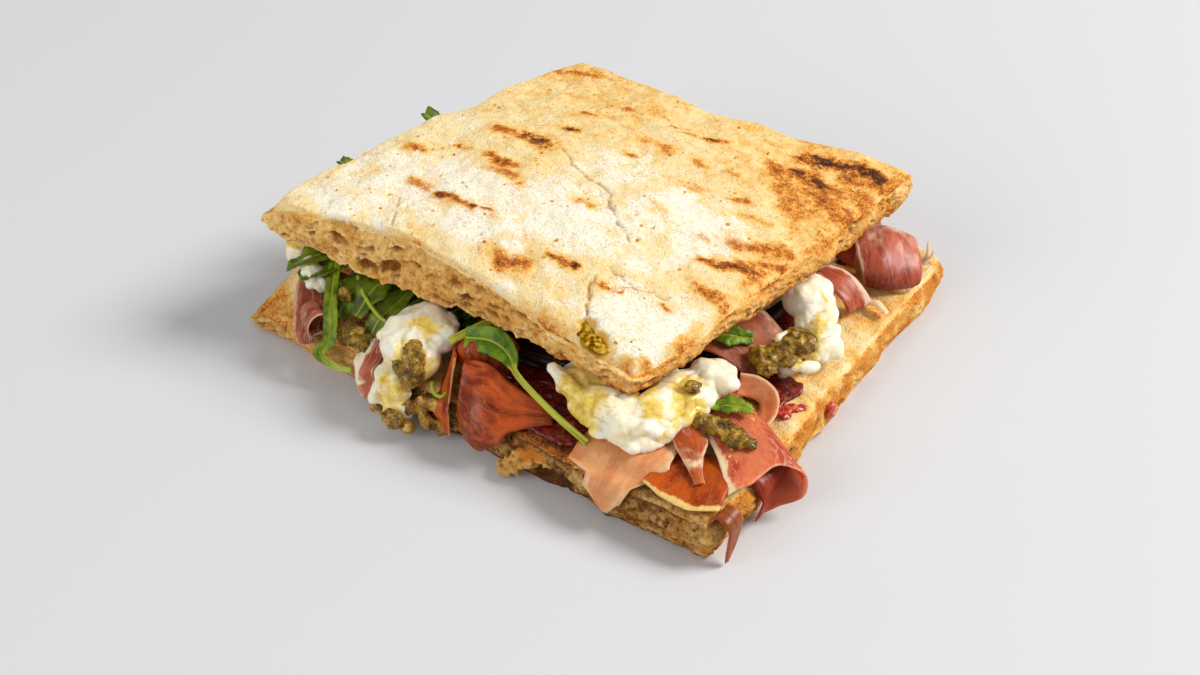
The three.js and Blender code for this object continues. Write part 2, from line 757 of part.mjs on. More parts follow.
// Cuts each piece back from the ones before it, GAP clear of them, and names the meshes.
function assemble() {
  const group = new THREE.Group();
  const taken = [];
  for (const [name, kind, make] of PIECES) {
    let solid = make(0);
    for (const grown of taken) solid = solid.subtract(grown);
    solid = largestBody(solid);
    taken.push(make(GAP));
    const material = new THREE.MeshStandardMaterial({
      color: COLOURS[kind],
      roughness: ROUGHNESS[kind],
      metalness: 0,
    });
    const mesh = new THREE.Mesh(geometryOf(solid), material);
    mesh.name = name;
    group.add(mesh);
  }
  return group;
}

export default assemble();
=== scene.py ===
import itertools
import math

import bmesh
import bpy
import numpy as np
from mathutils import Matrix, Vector


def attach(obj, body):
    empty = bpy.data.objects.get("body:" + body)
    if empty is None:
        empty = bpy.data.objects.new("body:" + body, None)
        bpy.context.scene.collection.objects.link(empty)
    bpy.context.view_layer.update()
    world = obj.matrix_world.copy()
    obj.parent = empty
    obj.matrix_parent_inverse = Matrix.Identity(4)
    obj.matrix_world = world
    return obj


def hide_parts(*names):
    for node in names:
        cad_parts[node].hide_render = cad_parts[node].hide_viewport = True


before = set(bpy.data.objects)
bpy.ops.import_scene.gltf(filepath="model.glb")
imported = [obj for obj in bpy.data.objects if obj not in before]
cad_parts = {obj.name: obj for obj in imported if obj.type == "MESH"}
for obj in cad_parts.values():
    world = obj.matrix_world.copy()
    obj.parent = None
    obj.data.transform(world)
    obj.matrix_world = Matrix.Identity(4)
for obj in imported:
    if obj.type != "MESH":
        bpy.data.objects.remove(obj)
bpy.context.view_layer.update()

# Places and sizes are millimetres until a mesh is made, in the frame of the CAD part.
MM = 0.001

# The two breads: corners, thickness and edges, as in the part's source.
LOWER = dict(
    corners=[(-100, -75), (91, -79), (87, 85), (-77, 74)],
    rounding=0.03,
    bows=dict(front=0, right=-1, back=0, left=2),
    lean=dict(at=0, width=1, depth=0),
    base=[[0, 0, 0]] * 3,
    top=[[13, 13, 15], [13, 13.5, 13.5], [12.5, 13.5, 13]],
    dimple=0.5,
    wander=1.6,
    seed=3,
    side=(-2, 0.8, -2),
)
# The lower bread thins towards its left front tip: place, reach and share of the thickness left there.
TIP_AT, TIP_REACH, TIP_THINNEST = (-99, -75), 30, 0.3
UPPER = dict(
    corners=[(-92, -70), (51.5, -59), (75, 76), (-60, 67)],
    rounding=0.04,
    bows=dict(front=-6, right=1, back=-9, left=-1.5),
    lean=dict(at=-0.35, width=0.4, depth=5),
    base=[[36.5, 32.8, 31], [36, 36.5, 36.5], [36, 37, 37.5]],
    top=[[50, 48.5, 40.5], [52, 56, 45], [50, 51.5, 47.5]],
    dimple=1.1,
    wander=1.4,
    seed=11,
    side=(-0.8, 1, -1),
)
PINCH = (-93, -71, 44.5, 17, 0.3)  # the upper bread's left tip: place, height, reach, thickness share
FRONT_ROW = 2 / 12  # share of v over which the front edge's lean fades
EDGE_MARGIN, TOP_MARGIN = 2.6, 0.8  # how far thin pieces keep from the lower bread's smooth form
SKEW = 0.18  # the upper bread's sides lean this far along x for each mm along y
# Half the width and depth of each bread's top, which turn u and v into a distance from its rim.
UPPER_HALF, LOWER_HALF = (72, 68), (93, 78)


# Numbers and noise


def hash01(x, y, z):
    """Pseudo-random number from 0 to 1 for whole-number coordinates."""
    mixed = np.sin(x * 127.1 + y * 311.7 + z * 74.7) * 43758.5453
    return mixed - np.floor(mixed)


def noise(x, y, z=0.0):
    """Smooth noise from -1 to 1 that varies over distances of about 1."""
    axes = np.broadcast_arrays(*(np.asarray(v, float) for v in (x, y, z)))
    cells = [np.floor(v) for v in axes]
    parts = [v - c for v, c in zip(axes, cells)]
    parts = [p * p * (3 - 2 * p) for p in parts]
    total = 0.0
    for step in itertools.product((0, 1), repeat=3):
        weight = 1.0
        for part, s in zip(parts, step):
            weight = weight * (part if s else 1 - part)
        total = total + weight * hash01(*(c + s for c, s in zip(cells, step)))
    return 2 * total - 1


def noise_at(points, size, seed=0.0):
    """Noise at an array of points, its features about `size` mm across."""
    p = np.asarray(points) / size
    return noise(p[..., 0] + seed * 3.7, p[..., 1] + seed * 1.9, p[..., 2] + seed)


def mix(a, b, share):
    return a + (b - a) * share


def smooth(value):
    value = np.clip(value, 0, 1)
    return value * value * (3 - 2 * value)


def unit(vectors):
    return vectors / np.maximum(np.linalg.norm(vectors, axis=-1, keepdims=True), 1e-9)


def waves(points, *terms):
    """Sum of noise at points; each term is its amount, size in mm and seed."""
    return sum(amount * noise_at(points, size, seed) for amount, size, seed in terms)


def ripples(x, y, *terms):
    """Sum of noise over two coordinates; each term is its amount, its size along each, and seed."""
    return sum(amount * noise(x / wide, y / long, seed) for amount, wide, long, seed in terms)


def bell(value):
    return np.exp(-(value**2))


def warp(points, size, amount, seed):
    """Points pushed about by smooth noise, to make what is read there irregular."""
    return points + amount * np.stack([noise_at(points, size, seed + 9 * k) for k in (1, 2, 3)], 1)


def bubbles(points, size, share, seed, flat=0.6):
    """Depth in mm of the cut bubbles at each point; `share` of the cells of `size` mm hold one."""
    scaled = points / (np.array([1.4, 1.4, flat]) * size)
    cell = np.floor(scaled)
    depth = np.zeros(len(points))
    for step in itertools.product((-1, 0, 1), repeat=3):
        home = cell + step
        x, y, z = home.T
        draw = [hash01(x + seed * k, y + 7.3 * k, z + 3.1 * k) for k in (1, 2, 3, 4)]
        radius = 0.2 + 0.3 * np.clip(draw[3] / share, 0, 1)
        middle = home + 0.25 + 0.5 * np.stack(draw[:3], 1)
        away = np.linalg.norm(scaled - middle, axis=1) / radius
        bowl = radius * size * 0.75 * np.clip(1 - away**2, 0, 1) ** 0.55
        depth = np.maximum(depth, np.where(draw[3] < share, bowl, 0))
    return depth


def catmull(points, t):
    """Points at t (0 to 1) of centripetal Catmull-Rom curves; points is (..., K, 3)."""
    points = np.asarray(points, float)
    first = 2 * points[..., :1, :] - points[..., 1:2, :]
    last = 2 * points[..., -1:, :] - points[..., -2:-1, :]
    chain = np.concatenate([first, points, last], axis=-2)
    place = np.clip(t, 0, 1) * (points.shape[-2] - 1)
    span = np.minimum(np.floor(place), points.shape[-2] - 2).astype(int)
    w = (place - span)[:, None]
    p0, p1, p2, p3 = (chain[..., span + k, :] for k in range(4))
    d0, d1, d2 = (
        np.maximum(np.linalg.norm(b - a, axis=-1, keepdims=True), 1e-6) ** 0.5
        for a, b in ((p0, p1), (p1, p2), (p2, p3))
    )
    m1 = ((p1 - p0) / d0 - (p2 - p0) / (d0 + d1) + (p2 - p1) / d1) * d1
    m2 = ((p2 - p1) / d1 - (p3 - p1) / (d1 + d2) + (p3 - p2) / d2) * d1
    return p1 + m1 * w + (3 * (p2 - p1) - 2 * m1 - m2) * w**2 + (2 * (p1 - p2) + m1 + m2) * w**3


# Meshes


def grid_faces(rows, cols):
    """Quads of a grid whose vertices run along the columns first; rows and cols count vertices."""
    first = (np.arange(rows - 1)[:, None] * cols + np.arange(cols - 1)).ravel()
    return np.stack([first, first + 1, first + cols + 1, first + cols], 1)


def grid_rim(rows, cols):
    """The vertices round such a grid, in order."""
    down, across = np.arange(rows - 1, 0, -1), np.arange(cols - 1, 0, -1)
    return np.concatenate([
        np.arange(cols - 1), np.arange(rows - 1) * cols + cols - 1, (rows - 1) * cols + across, down * cols,
    ])


def band(a, b):
    """Quads between two loops of vertices."""
    return np.stack([a, b, np.roll(b, -1), np.roll(a, -1)], 1)


def joined(parts):
    """Several meshes as one; each is its points, lists of faces and marks."""
    starts = np.cumsum([0] + [len(points) for points, _, _ in parts])
    faces = [f + start for (_, group, _), start in zip(parts, starts) for f in group]
    marks = {key: np.concatenate([part[2][key] for part in parts]) for key in parts[0][2]}
    return np.concatenate([points for points, _, _ in parts]), faces, marks


def read(values, field, each=3, width=3, kind=np.float32):
    """What a mesh holds under a field's name, `each` numbers a value, in rows of the given width."""
    out = np.empty(len(values) * each, kind)
    values.foreach_get(field, out)
    return out.reshape(-1, width)


def make_object(name, points, faces, marks=None):
    """A smooth-shaded object from points in mm, lists of faces by size, and vertex attributes."""
    mesh = bpy.data.meshes.new(name)
    mesh.vertices.add(len(points))
    mesh.vertices.foreach_set("co", (np.asarray(points) * MM).astype(np.float32).ravel())
    corners = np.concatenate([f.ravel() for f in faces]).astype(np.int32)
    sizes = np.concatenate([np.full(len(f), f.shape[1]) for f in faces])
    mesh.loops.add(len(corners))
    mesh.loops.foreach_set("vertex_index", corners)
    mesh.polygons.add(len(sizes))
    mesh.polygons.foreach_set("loop_start", np.concatenate([[0], np.cumsum(sizes)[:-1]]).astype(np.int32))
    mesh.polygons.foreach_set("use_smooth", np.ones(len(sizes), bool))
    mesh.update(calc_edges=True)
    for key, values in (marks or {}).items():
        values = np.asarray(values, np.float32)
        kind, field = ("FLOAT", "value") if values.ndim == 1 else ("FLOAT_VECTOR", "vector")
        mesh.attributes.new(key, kind, "POINT").data.foreach_set(field, values.ravel())
    piece = bpy.data.objects.new(name, mesh)
    bpy.context.scene.collection.objects.link(piece)
    return piece


def dress(piece, material, slot, *nodes):
    """Gives a piece its material, and lets it stand for CAD nodes; its finish, the slot, is not used."""
    piece.data.materials.append(material)
    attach(piece, "root")
    if nodes:
        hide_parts(*nodes)
    return piece


# Bread


def quadratic(grid, u, v):
    """The smooth surface through a 3 by 3 grid of values, at u and v from -1 to 1."""
    across, along = ([p * (p - 1) / 2, 1 - p * p, p * (p + 1) / 2] for p in (u, v))
    return sum(along[j] * sum(across[i] * grid[j][i] for i in range(3)) for j in range(3))


def bread_plan(bread, u, v):
    """Plan position at u and v, both from -1 to 1 across the slab."""
    ru, rv = u * (1 - bread["rounding"] * v**8), v * (1 - bread["rounding"] * u**8)
    a, b = (1 + ru) / 2, (1 + rv) / 2
    fl, fr, br, bl = bread["corners"]
    x, y = (mix(mix(fl[k], fr[k], a), mix(bl[k], br[k], a), b) for k in (0, 1))

    def bow(name, along, towards):
        return bread["bows"][name] * (1 - along * along) * ((1 + towards) / 2) ** 2

    return x + bow("right", v, u) - bow("left", v, -u), y + bow("back", u, v) - bow("front", u, -v)


def bread_heights(bread, u, v):
    x, y = bread_plan(bread, u, v)
    low = quadratic(bread["base"], u, v)
    high = quadratic(bread["top"], u, v) + bread["dimple"] * noise(x / 17, y / 17, bread["seed"])
    if bread is LOWER:
        away = np.hypot(x - TIP_AT[0], y - TIP_AT[1]) / TIP_REACH
        high = mix(low, high, mix(TIP_THINNEST, 1, smooth(away)))
    else:
        x0, y0, z0, reach, thinnest = PINCH
        share = mix(thinnest, 1, smooth(np.hypot(x - x0, y - y0) / reach))
        low, high = mix(z0, low, share), mix(z0, high, share)
    return low, high


def slab_point(bread, u, v, rise):
    """A point of the slab's skin, rise from 0 at its bottom to 1 at its top."""
    x, y = bread_plan(bread, u, v)
    low, high = bread_heights(bread, u, v)
    rim = np.maximum(np.abs(u), np.abs(v)) ** 12
    wobble = bread["wander"] * noise(x / 9, y / 9, bread["seed"] + rise * 1.5)
    bottom, middle, top = bread["side"]
    swell = mix(mix(bottom, top, rise), middle, 1 - (2 * rise - 1) ** 2)
    out = rim * (swell + wobble)
    lean = bread["lean"]
    lean_share = np.clip((-1 + FRONT_ROW - v) / FRONT_ROW, 0, 1)
    back = lean["depth"] * rise * bell((u - lean["at"]) / lean["width"]) * lean_share
    return np.stack([x + out * u**5, y + out * v**5 + back, mix(low, high, rise)], -1)


# Each bread's mean outline in plan: least x and y, and width and depth.
LOWER_PLAN, UPPER_PLAN = (-90, -74, 176, 152), (-76, -62, 138, 130)


def plan_uv(x, y, plan):
    """About where a plan position lies across a bread, as u and v."""
    left, front, width, depth = plan
    return (np.clip(share, 0, 1) * 2 - 1 for share in ((x - left) / width, (y - front) / depth))


def lower_top(x, y):
    """Height of the lower bread's top at a plan position."""
    return bread_heights(LOWER, *plan_uv(x, y, LOWER_PLAN))[1]


def upper_base(x, y):
    """Height of the upper bread's underside at a plan position."""
    return quadratic(UPPER["base"], *plan_uv(x - SKEW * y, y, UPPER_PLAN))


def clear_of_lower(points, half):
    """Moves the points of a thin piece up or out until they are clear of the lower bread."""
    x, y, z = np.moveaxis(points, -1, 0)
    depth, nx, ny = np.full(x.shape, np.inf), 0.0, 0.0
    corners = LOWER["corners"]
    for (ax, ay), (bx, by) in zip(corners, corners[1:] + corners[:1]):
        length = math.hypot(bx - ax, by - ay)
        mx, my = (by - ay) / length, (ax - bx) / length
        inside = (ax - x) * mx + (ay - y) * my
        nearer = inside < depth
        depth, nx, ny = (np.where(nearer, new, old) for new, old in ((inside, depth), (mx, nx), (my, ny)))
    out = depth + half + EDGE_MARGIN
    up = lower_top(x, y) + half + TOP_MARGIN - z
    push = (out > 0) & (up > 0)
    lift = push & (up <= out)
    aside = push & ~lift
    moves = np.where(aside, nx * out, 0), np.where(aside, ny * out, 0), np.where(lift, up, 0)
    return points + np.stack(moves, -1)


class Slab:
    """A bread's skin: a fine top, fine sides and a coarse bottom, closed all round."""

    def __init__(self, bread, cols, rows, levels, step):
        self.bread, self.cols, self.rows, self.levels = bread, cols, rows, levels
        u, v = np.meshgrid(np.linspace(-1, 1, cols + 1), np.linspace(-1, 1, rows + 1))
        self.top_uv = np.stack([u.ravel(), v.ravel()], 1)
        self.top = slab_point(bread, u.ravel(), v.ravel(), 1.0)
        self.loop = grid_rim(rows + 1, cols + 1)
        self.side_uv = np.tile(self.top_uv[self.loop], (levels, 1))
        self.side_rise = np.repeat(1 - np.arange(1, levels + 1) / levels, len(self.loop))
        self.side = slab_point(bread, *self.side_uv.T, self.side_rise)
        rings = self.side.reshape(levels, len(self.loop), 3)
        run = np.roll(rings, -2, 1) - np.roll(rings, 2, 1)
        self.side_out = unit(np.stack([run[..., 1], -run[..., 0], 0 * run[..., 0]], -1)).reshape(-1, 3)
        low, high = bread_heights(bread, *self.side_uv.T)
        self.below_top = (high - low) * (1 - self.side_rise)
        self.above_base = (high - low) * self.side_rise
        self.make_bottom(step)

    def make_bottom(self, step):
        cols, rows, count = self.cols, self.rows, len(self.loop)
        place = {(n % (cols + 1), n // (cols + 1)): order for order, n in enumerate(self.loop)}
        ring = len(self.top) + (self.levels - 1) * count
        across, along = cols // step, rows // step
        inner = ring + count
        grid = {}
        for j in range(along + 1):
            for i in range(across + 1):
                fine = (i * step, j * step)
                if fine in place:
                    grid[i, j] = ring + place[fine]
                else:
                    grid[i, j] = inner
                    inner += 1
        uv = [(2 * i / across - 1, 2 * j / along - 1) for j in range(1, along) for i in range(1, across)]
        self.base = slab_point(self.bread, *np.array(uv).T, 0.0)
        self.base_faces = {}
        for j in range(along):
            for i in range(across):
                round_cell = [(i, j), (i, j + 1), (i + 1, j + 1), (i + 1, j), (i, j)]
                face = []
                for (a, b), (c, d) in zip(round_cell, round_cell[1:]):
                    face.append(grid[a, b])
                    between = [(a * step + (c - a) * k, b * step + (d - b) * k) for k in range(1, step)]
                    if all(fine in place for fine in between):
                        face += [ring + place[fine] for fine in between]
                self.base_faces.setdefault(len(face), []).append(face)

    def faces(self):
        count, top = len(self.loop), len(self.top)
        rings = [self.loop] + [top + k * count + np.arange(count) for k in range(self.levels)]
        sides = [band(a, b) for a, b in zip(rings, rings[1:])]
        base = [np.array(f) for f in self.base_faces.values()]
        return [grid_faces(self.rows + 1, self.cols + 1), *sides, *base]


# The charring mark is real charring on the upper top; on the lower bread's sides it is painted shade mixed
# with oil stains, and it darkens the flap as well.
BREAD_MARKS = ("toast", "char", "flour", "crumb", "pore", "oil")


def bread_marks(toast, **others):
    """The marks that the bread's material reads; those not given are zero."""
    return {key: 0 * toast for key in BREAD_MARKS} | dict(toast=toast, **others)


def slab_piece(name, slab, side, **marks):
    """A slab as an object; each mark is given for its top, its sides and its base."""
    parts = [slab.top, side, slab.base]
    marks = {
        key: np.concatenate([value + np.zeros(len(part)) for value, part in zip(values, parts)])
        for key, values in marks.items()
    }
    return make_object(name, np.concatenate(parts), slab.faces(), marks)


def segment_distance(x, y, x0, y0, x1, y1):
    """Distance of plan points from a line segment."""
    dx, dy = x1 - x0, y1 - y0
    along = np.clip(((x - x0) * dx + (y - y0) * dy) / max(dx * dx + dy * dy, 1e-6), 0, 1)
    return np.hypot(x - x0 - along * dx, y - y0 - along * dy)


def path_distance(x, y, path):
    return np.min([segment_distance(x, y, *a, *b) for a, b in zip(path, path[1:])], axis=0)


# Toasted marks on the upper bread's top: both ends in plan, half width, toast, char.
TOASTED = [
    (-48.6, 3.7, -30, 4.6, 2.6, 0.55, 0.25), (-38, 6, -28.5, 4.2, 3.2, 0.6, 1.05),
    (-41.5, -10.1, -31, -11, 2.8, 0.62, 0.3), (-35, -14.5, -23.5, -16.5, 3.6, 0.4, 0),
    (-69, -20, -61.8, -18.4, 1.9, 0.55, 0.15), (-54.6, -9.9, -49.4, -9.2, 1.4, 0.45, 0),
    (-29.5, 16.2, -25.4, 17, 2.2, 0.42, 0.8), (-62.4, 52.5, -45, 57.7, 2.6, 0.4, 0),
    (-31, 29.1, -25.8, 29.2, 1.5, 0.4, 0), (-23.4, 39.6, -18.8, 40.6, 1.6, 0.42, 0),
    (-5.1, 26.5, 6.2, 27, 3.4, 0.36, 0), (-4.7, 16.5, -2.2, 17, 1.2, 0.5, 0),
    (-2.6, 40.8, 1.1, 40.8, 1.3, 0.4, 0), (3.2, 38, 7.3, 38.6, 1.3, 0.42, 0),
    (11.7, 40.4, 17.5, 42.4, 1.5, 0.55, 0.5), (15.6, 27.3, 19, 27.3, 1.8, 0.35, 0),
    (26, 28.6, 30, 29.4, 1.7, 0.35, 0), (17.6, 14.4, 25.3, 15.4, 2.6, 0.26, 0),
    (42.2, 54.7, 54.3, 60.4, 4.2, 0.55, 0.95), (54.3, 60.4, 66.1, 60.4, 4.2, 0.55, 0.95),
    (43.7, 45.4, 54.2, 46.3, 4, 0.6, 1.0), (61.2, 46.7, 62.6, 46.2, 1.3, 0.55, 0.6),
    (36.5, 42.5, 54.6, 27.9, 5.5, 0.4, 0), (50.9, 40.8, 68.6, 36.3, 6.5, 0.42, 0),
    (58.1, 54.7, 72.3, 61.6, 6, 0.42, 0), (48.7, 38, 65.4, 48.2, 6, 0.42, 0),
    (63.7, 23.2, 64.5, 24.4, 2, 0.4, 0), (33, 17.9, 38.5, 20.8, 1.5, 0.5, 0.25),
    (41.6, 14.6, 49.6, 17.3, 2.4, 0.3, 0), (35.6, -1.5, 40.2, 0.4, 2, 0.45, 0.1),
    (45.1, 2.7, 61, 9.8, 3, 0.45, 0.1), (18.8, -2.3, 24, -0.7, 1.6, 0.34, 0),
    (-2.3, -13.4, 2.4, -12.8, 1.7, 0.4, 0.1), (-54.6, -33, -43, -34.6, 2, 0.45, 0),
    (-43, -35, -28, -35.4, 2, 0.6, 0.55), (-24.4, -34, -20.1, -33.4, 1.5, 0.55, 0.4),
    (-6.5, -48.3, -0.2, -45, 4.3, 0.52, 0.05), (4.7, -37.6, 13.6, -37.1, 1.5, 0.62, 0.75),
    (23.1, -37.6, 29.6, -35.8, 1.4, 0.55, 0.4), (45.3, -20, 56.1, -19, 2.4, 0.5, 0.2),
    (40.8, -10.5, 58, -1.3, 1.7, 0.6, 0.55), (52, -3, 62, 6, 2.6, 0.5, 0.2),
    (42.9, -31.5, 46, -31, 1.3, 0.4, 0), (57, -8, 60, 10, 3.5, 0.36, 0),
]

# Cracks in the upper bread's top: a path in plan, half width and depth.
CRACKS = [
    ([(-24, 6), (-14, 0), (-8.5, -1.6), (4.2, -4.6), (6.6, -9.2), (12, -12.6), (19.7, -17.5)], 0.45, 0.7),
    ([(-52.5, -42.3), (-49, -47.7), (-45.8, -53.6)], 0.3, 0.6),
    ([(21.6, -30.2), (26.3, -31.3), (31.2, -31.5)], 0.4, 0.7),
    ([(20, -36), (21.1, -40), (24.3, -45.6), (28.4, -52)], 0.5, 1.1),
    ([(-19.5, -41.2), (-15.2, -49)], 0.25, 0.4),
    ([(26.4, -35.7), (35.9, -29.5), (42.4, -29)], 0.35, 0.6),
]
# The torn place near the corner where pesto shows, and floured areas: x, y, radii, strength.
TEAR = [(28.4, -52), (31.5, -54.5), (35.5, -55.6)]
FLOURED = [
    (42, -42, 16, 13, 1.0), (-2, -22, 30, 12, 0.8), (-40, -32, 30, 14, 0.9), (8, -53, 22, 8, 0.55),
    (30, 2, 20, 14, 0.75), (-62, -50, 18, 10, 0.7), (10, 8, 22, 14, 0.6), (-70, -6, 12, 14, 0.35),
    (55, -30, 10, 12, 0.6), (-8, -44, 20, 6, 0.6),
]


def toast_fields(x, y):
    """Toast, char and flour of the upper bread's top at plan points."""
    wx = x + ripples(x, y, (1.0, 6, 4.4, 1), (0.6, 2.1, 1.7, 2), (0.4, 0.8, 0.8, 3))
    wy = y + ripples(x, y, (0.8, 6, 4.4, 5), (0.6, 2.1, 1.7, 6), (0.4, 0.8, 0.8, 7))
    patchy = 1 + ripples(x, y, (0.35, 3.4, 2.4, 8), (0.3, 1.3, 1.1, 9))
    browned, char, flour = np.zeros((3, len(x)))
    for *ends, width, toast, burnt in TOASTED:
        away = segment_distance(wx, wy, *ends) / width
        soft = np.maximum(0.5 * np.exp(-0.3 * away**2), 0.9 * np.exp(-0.9 * away**2))
        browned = np.maximum(browned, toast * soft * patchy)
        char = np.maximum(char, 0.75 * burnt * np.exp(-1.3 * away**2) * patchy)
    for fx, fy, rx, ry, amount in FLOURED:
        flour = np.maximum(flour, amount * smooth(1.7 - np.hypot((wx - fx) / rx, (wy - fy) / ry)))
    return browned, char, flour


def upper_relief(x, y):
    """Height of the crust's bumps, wrinkles and cracks, depth in a crack, and distance from the tear."""
    wx, wy = x + ripples(x, y, (0.7, 2.2, 2.2, 3)), y + ripples(x, y, (0.7, 2.2, 2.2, 4))
    height = ripples(x, y, (0.6, 9, 7, 21), (0.36, 4.2, 3.2, 22), (0.12, 1.1, 1.1, 25))
    height += ripples(wx, wy, (0.18, 1.9, 1.6, 23))
    crack = np.zeros(len(x))
    for path, width, depth in CRACKS:
        away = path_distance(wx, wy, path)
        width = width * (0.7 + ripples(x, y, (0.45, 1.7, 1.7, 24)))
        height += -depth * bell(away / width) + 0.1 * bell((away - 1.6) / 1.3)
        crack = np.maximum(crack, bell(away / (width * 0.9)))
    torn = path_distance(wx, wy, TEAR)
    return height - 2.2 * smooth(1.5 - torn / 2), crack, torn


# Bubbles cut open at the breads' sides: depth, size, share of cells that hold one, and seed.
PORES = [(1.5, 6.8, 0.36, 0), (1.7, 3.9, 0.5, 1), (1.8, 2.3, 0.6, 2), (1.6, 1.5, 0.5, 7)]


def side_surface(slab, openness, seed, wrap):
    """Moves the cut sides in where bubbles open; gives the offset along the outward normal,
    the depth of the pores and how far each vertex belongs to the crumb."""
    points = warp(warp(slab.side, 4, 1.1, seed), 1.5, 0.6, seed + 5)
    inner = smooth((slab.below_top - wrap) / 0.8) * smooth((slab.above_base - 0.2) / 1.0)
    pores = [depth * bubbles(points, size, share, seed + k) for depth, size, share, k in PORES]
    pores = np.max(pores, axis=0) * (openness * inner)
    walls = 0.8 * (0.3 - np.abs(noise_at(points, 3.4, seed + 3)))
    walls += 0.6 * (0.3 - np.abs(noise_at(points, 1.6, seed + 4)))
    rough = waves(points, (0.5, 7, seed), (0.3, 2.2, seed + 8), (0.3, 1.0, seed + 6))
    return rough * (0.3 + 0.7 * openness) + walls * inner * (0.08 + 0.92 * openness) - pores, pores, inner


def along_sides(slab, *values):
    """A value for each side of a slab, front, right, back and left, blended at its corners."""
    u, v = slab.side_uv.T
    weights = [np.clip(towards, 0, 1) ** 24 for towards in (-v, u, v, -u)]
    return sum(w * value for w, value in zip(weights, values)) / sum(weights)


def rim_drop(slab, half, soft):
    """How much the top rounds down towards its rim, how much the sides then come down, and the inset."""
    inset = np.min((1 - np.abs(slab.top_uv)) * half, axis=1)
    flat = 1 - np.clip(inset / (soft * mix(1, 1.8, smooth(soft / 4))), 0, 1)
    drop = soft * (1 - np.sqrt(1 - 0.98 * flat**2))
    return drop, np.tile(drop[slab.loop], slab.levels) * slab.side_rise**2, inset


# Where the crust folds smoothly down over the right side: v and half width there.
FOLD_AT, FOLD_WIDTH = 0.24, 0.07
# Columns, rows and side levels of each bread, and how many of its cells the coarse bottom joins.
UPPER_CELLS, LOWER_CELLS = (248, 216, 30, 8), (184, 160, 24, 8)


def upper_bread():
    """The upper slab: floured and toasted on top, its cut sides open, its underside ragged."""
    slab = Slab(UPPER, *UPPER_CELLS)
    x, y = slab.top[:, 0], slab.top[:, 1]
    u, v = slab.top_uv.T
    browned, char, flour = toast_fields(x, y)
    height, crack, torn = upper_relief(x, y)
    near_corner = smooth((u - 0.1) / 0.7) * smooth((-v - 0.1) / 0.7)
    drop, side_drop, inset = rim_drop(slab, UPPER_HALF, 1.1 + 0.4 * smooth(-v) + 3.2 * near_corner)
    slab.top[:, 2] += height * smooth(inset / 2.5 + 0.2) + 0.35 * smooth(browned * 1.4) - drop
    far = smooth((v + 0.05) / 0.8)
    toast = 0.14 + ripples(x, y, (0.06, 13, 11, 31), (0.1, 4.4, 3.6, 32), (0.06, 1.6, 1.4, 30))
    toast += 0.1 * far + 0.1 * smooth((u - 0.45) / 0.55) * smooth((v + 0.5) / 0.6)
    toast += 0.24 * np.exp(-inset / 1.1) * np.clip(0.35 + 1.1 * noise(x / 9, y / 9, 33), 0, 1)
    toast = np.maximum(toast, browned + 0.55 * toast)
    flour = 0.9 * flour - 0.02 + ripples(x, y, (0.34, 7, 6, 34), (0.22, 2.5, 2.2, 35))
    flour = (flour - 0.45 * far - 1.1 * browned) * smooth(inset / 0.6 + 0.3)
    shoulder = near_corner * smooth(1.3 - inset / 5) * (1 + noise(x / 3, y / 3, 38))
    flour -= 0.9 * shoulder
    toast += 0.14 * shoulder
    oil = smooth(1.5 - (torn + 1.4 * noise(x / 2, y / 2, 36)) / 2.7)

    u, v = slab.side_uv.T
    fold = bell((v - FOLD_AT) / FOLD_WIDTH) * smooth((u - 0.9) / 0.1)
    corner_wrap = smooth((u - 0.35) / 0.4) * smooth((-v - 0.9) / 0.1)
    wrap = along_sides(slab, 0.35, 0.3, 0.6, 0.5) + 8 * fold
    wrap += corner_wrap * (2.2 + 2.4 * noise(slab.side[:, 0] / 5, slab.side[:, 2] / 9, 37))
    openness = along_sides(slab, 1.0, 0.75, 0.6, 0.9) - 0.6 * fold
    offset, pores, inner = side_surface(slab, openness, 5, wrap)
    # The edge round the cut underside is ragged and stands out in crisp crumbs.
    flat = slab.side * [1, 1, 0]
    fringe = np.exp(-slab.above_base / 1.5)
    loose = along_sides(slab, 1.0, 0.6, 0.6, 0.9)
    offset += fringe * loose * (0.3 + waves(flat, (0.8, 3.4, 3), (0.6, 1.5, 4), (0.4, 0.8, 9))) + 1.1 * fold
    side = slab.side + slab.side_out * offset[:, None]
    ragged = waves(flat, (1.4, 12, 3), (0.6, 4.6, 4), (0.6, 1.9, 5), (0.5, 0.9, 6))
    side[:, 2] += smooth(1 - slab.above_base / 6) * loose * ragged - side_drop
    line = bell(slab.below_top / 1.1) * np.clip(0.45 + noise_at(flat, 9, 8), 0, 1)
    side_toast = 0.08 + 0.42 * line + 0.3 * fringe + 0.06 * fold
    side_toast += along_sides(slab, 0.0, 0.22, 0.16, 0.02) + 0.08 * noise_at(slab.side, 5, 7)
    side_toast += 0.16 * corner_wrap * (1 + noise_at(slab.side, 2, 12))
    slab.base[:, 2] += waves(slab.base, (0.5, 6, 8), (0.25, 2.5, 9))
    return slab_piece(
        "upper_bread", slab, side,
        toast=(toast, side_toast, 0.15),
        char=(char, 0, 0),
        flour=(np.clip(flour, 0, 1), 0, 0),
        crumb=(0, inner, 1),
        pore=(np.clip(crack, 0, 1), np.clip(pores / 2.2, 0, 1), 0),
        oil=(oil, 0, 0),
    )


# Lumps are given by place and radii, each along x, y and z.
FLAP = [
    (29, -74.8, 9, 5.5, 3.6, 2.6), (24, -78, 7.4, 4.6, 3.4, 2.6), (21, -80, 5, 3.6, 2.8, 2.8),
    (18.6, -81, 2.8, 2.8, 2.4, 2.6), (34.5, -73.6, 8.6, 4.4, 3, 2.2),
]
# The hollow beside the flap: x, z and radii.
HOLLOW = (33, 4.6, 8, 4.6)


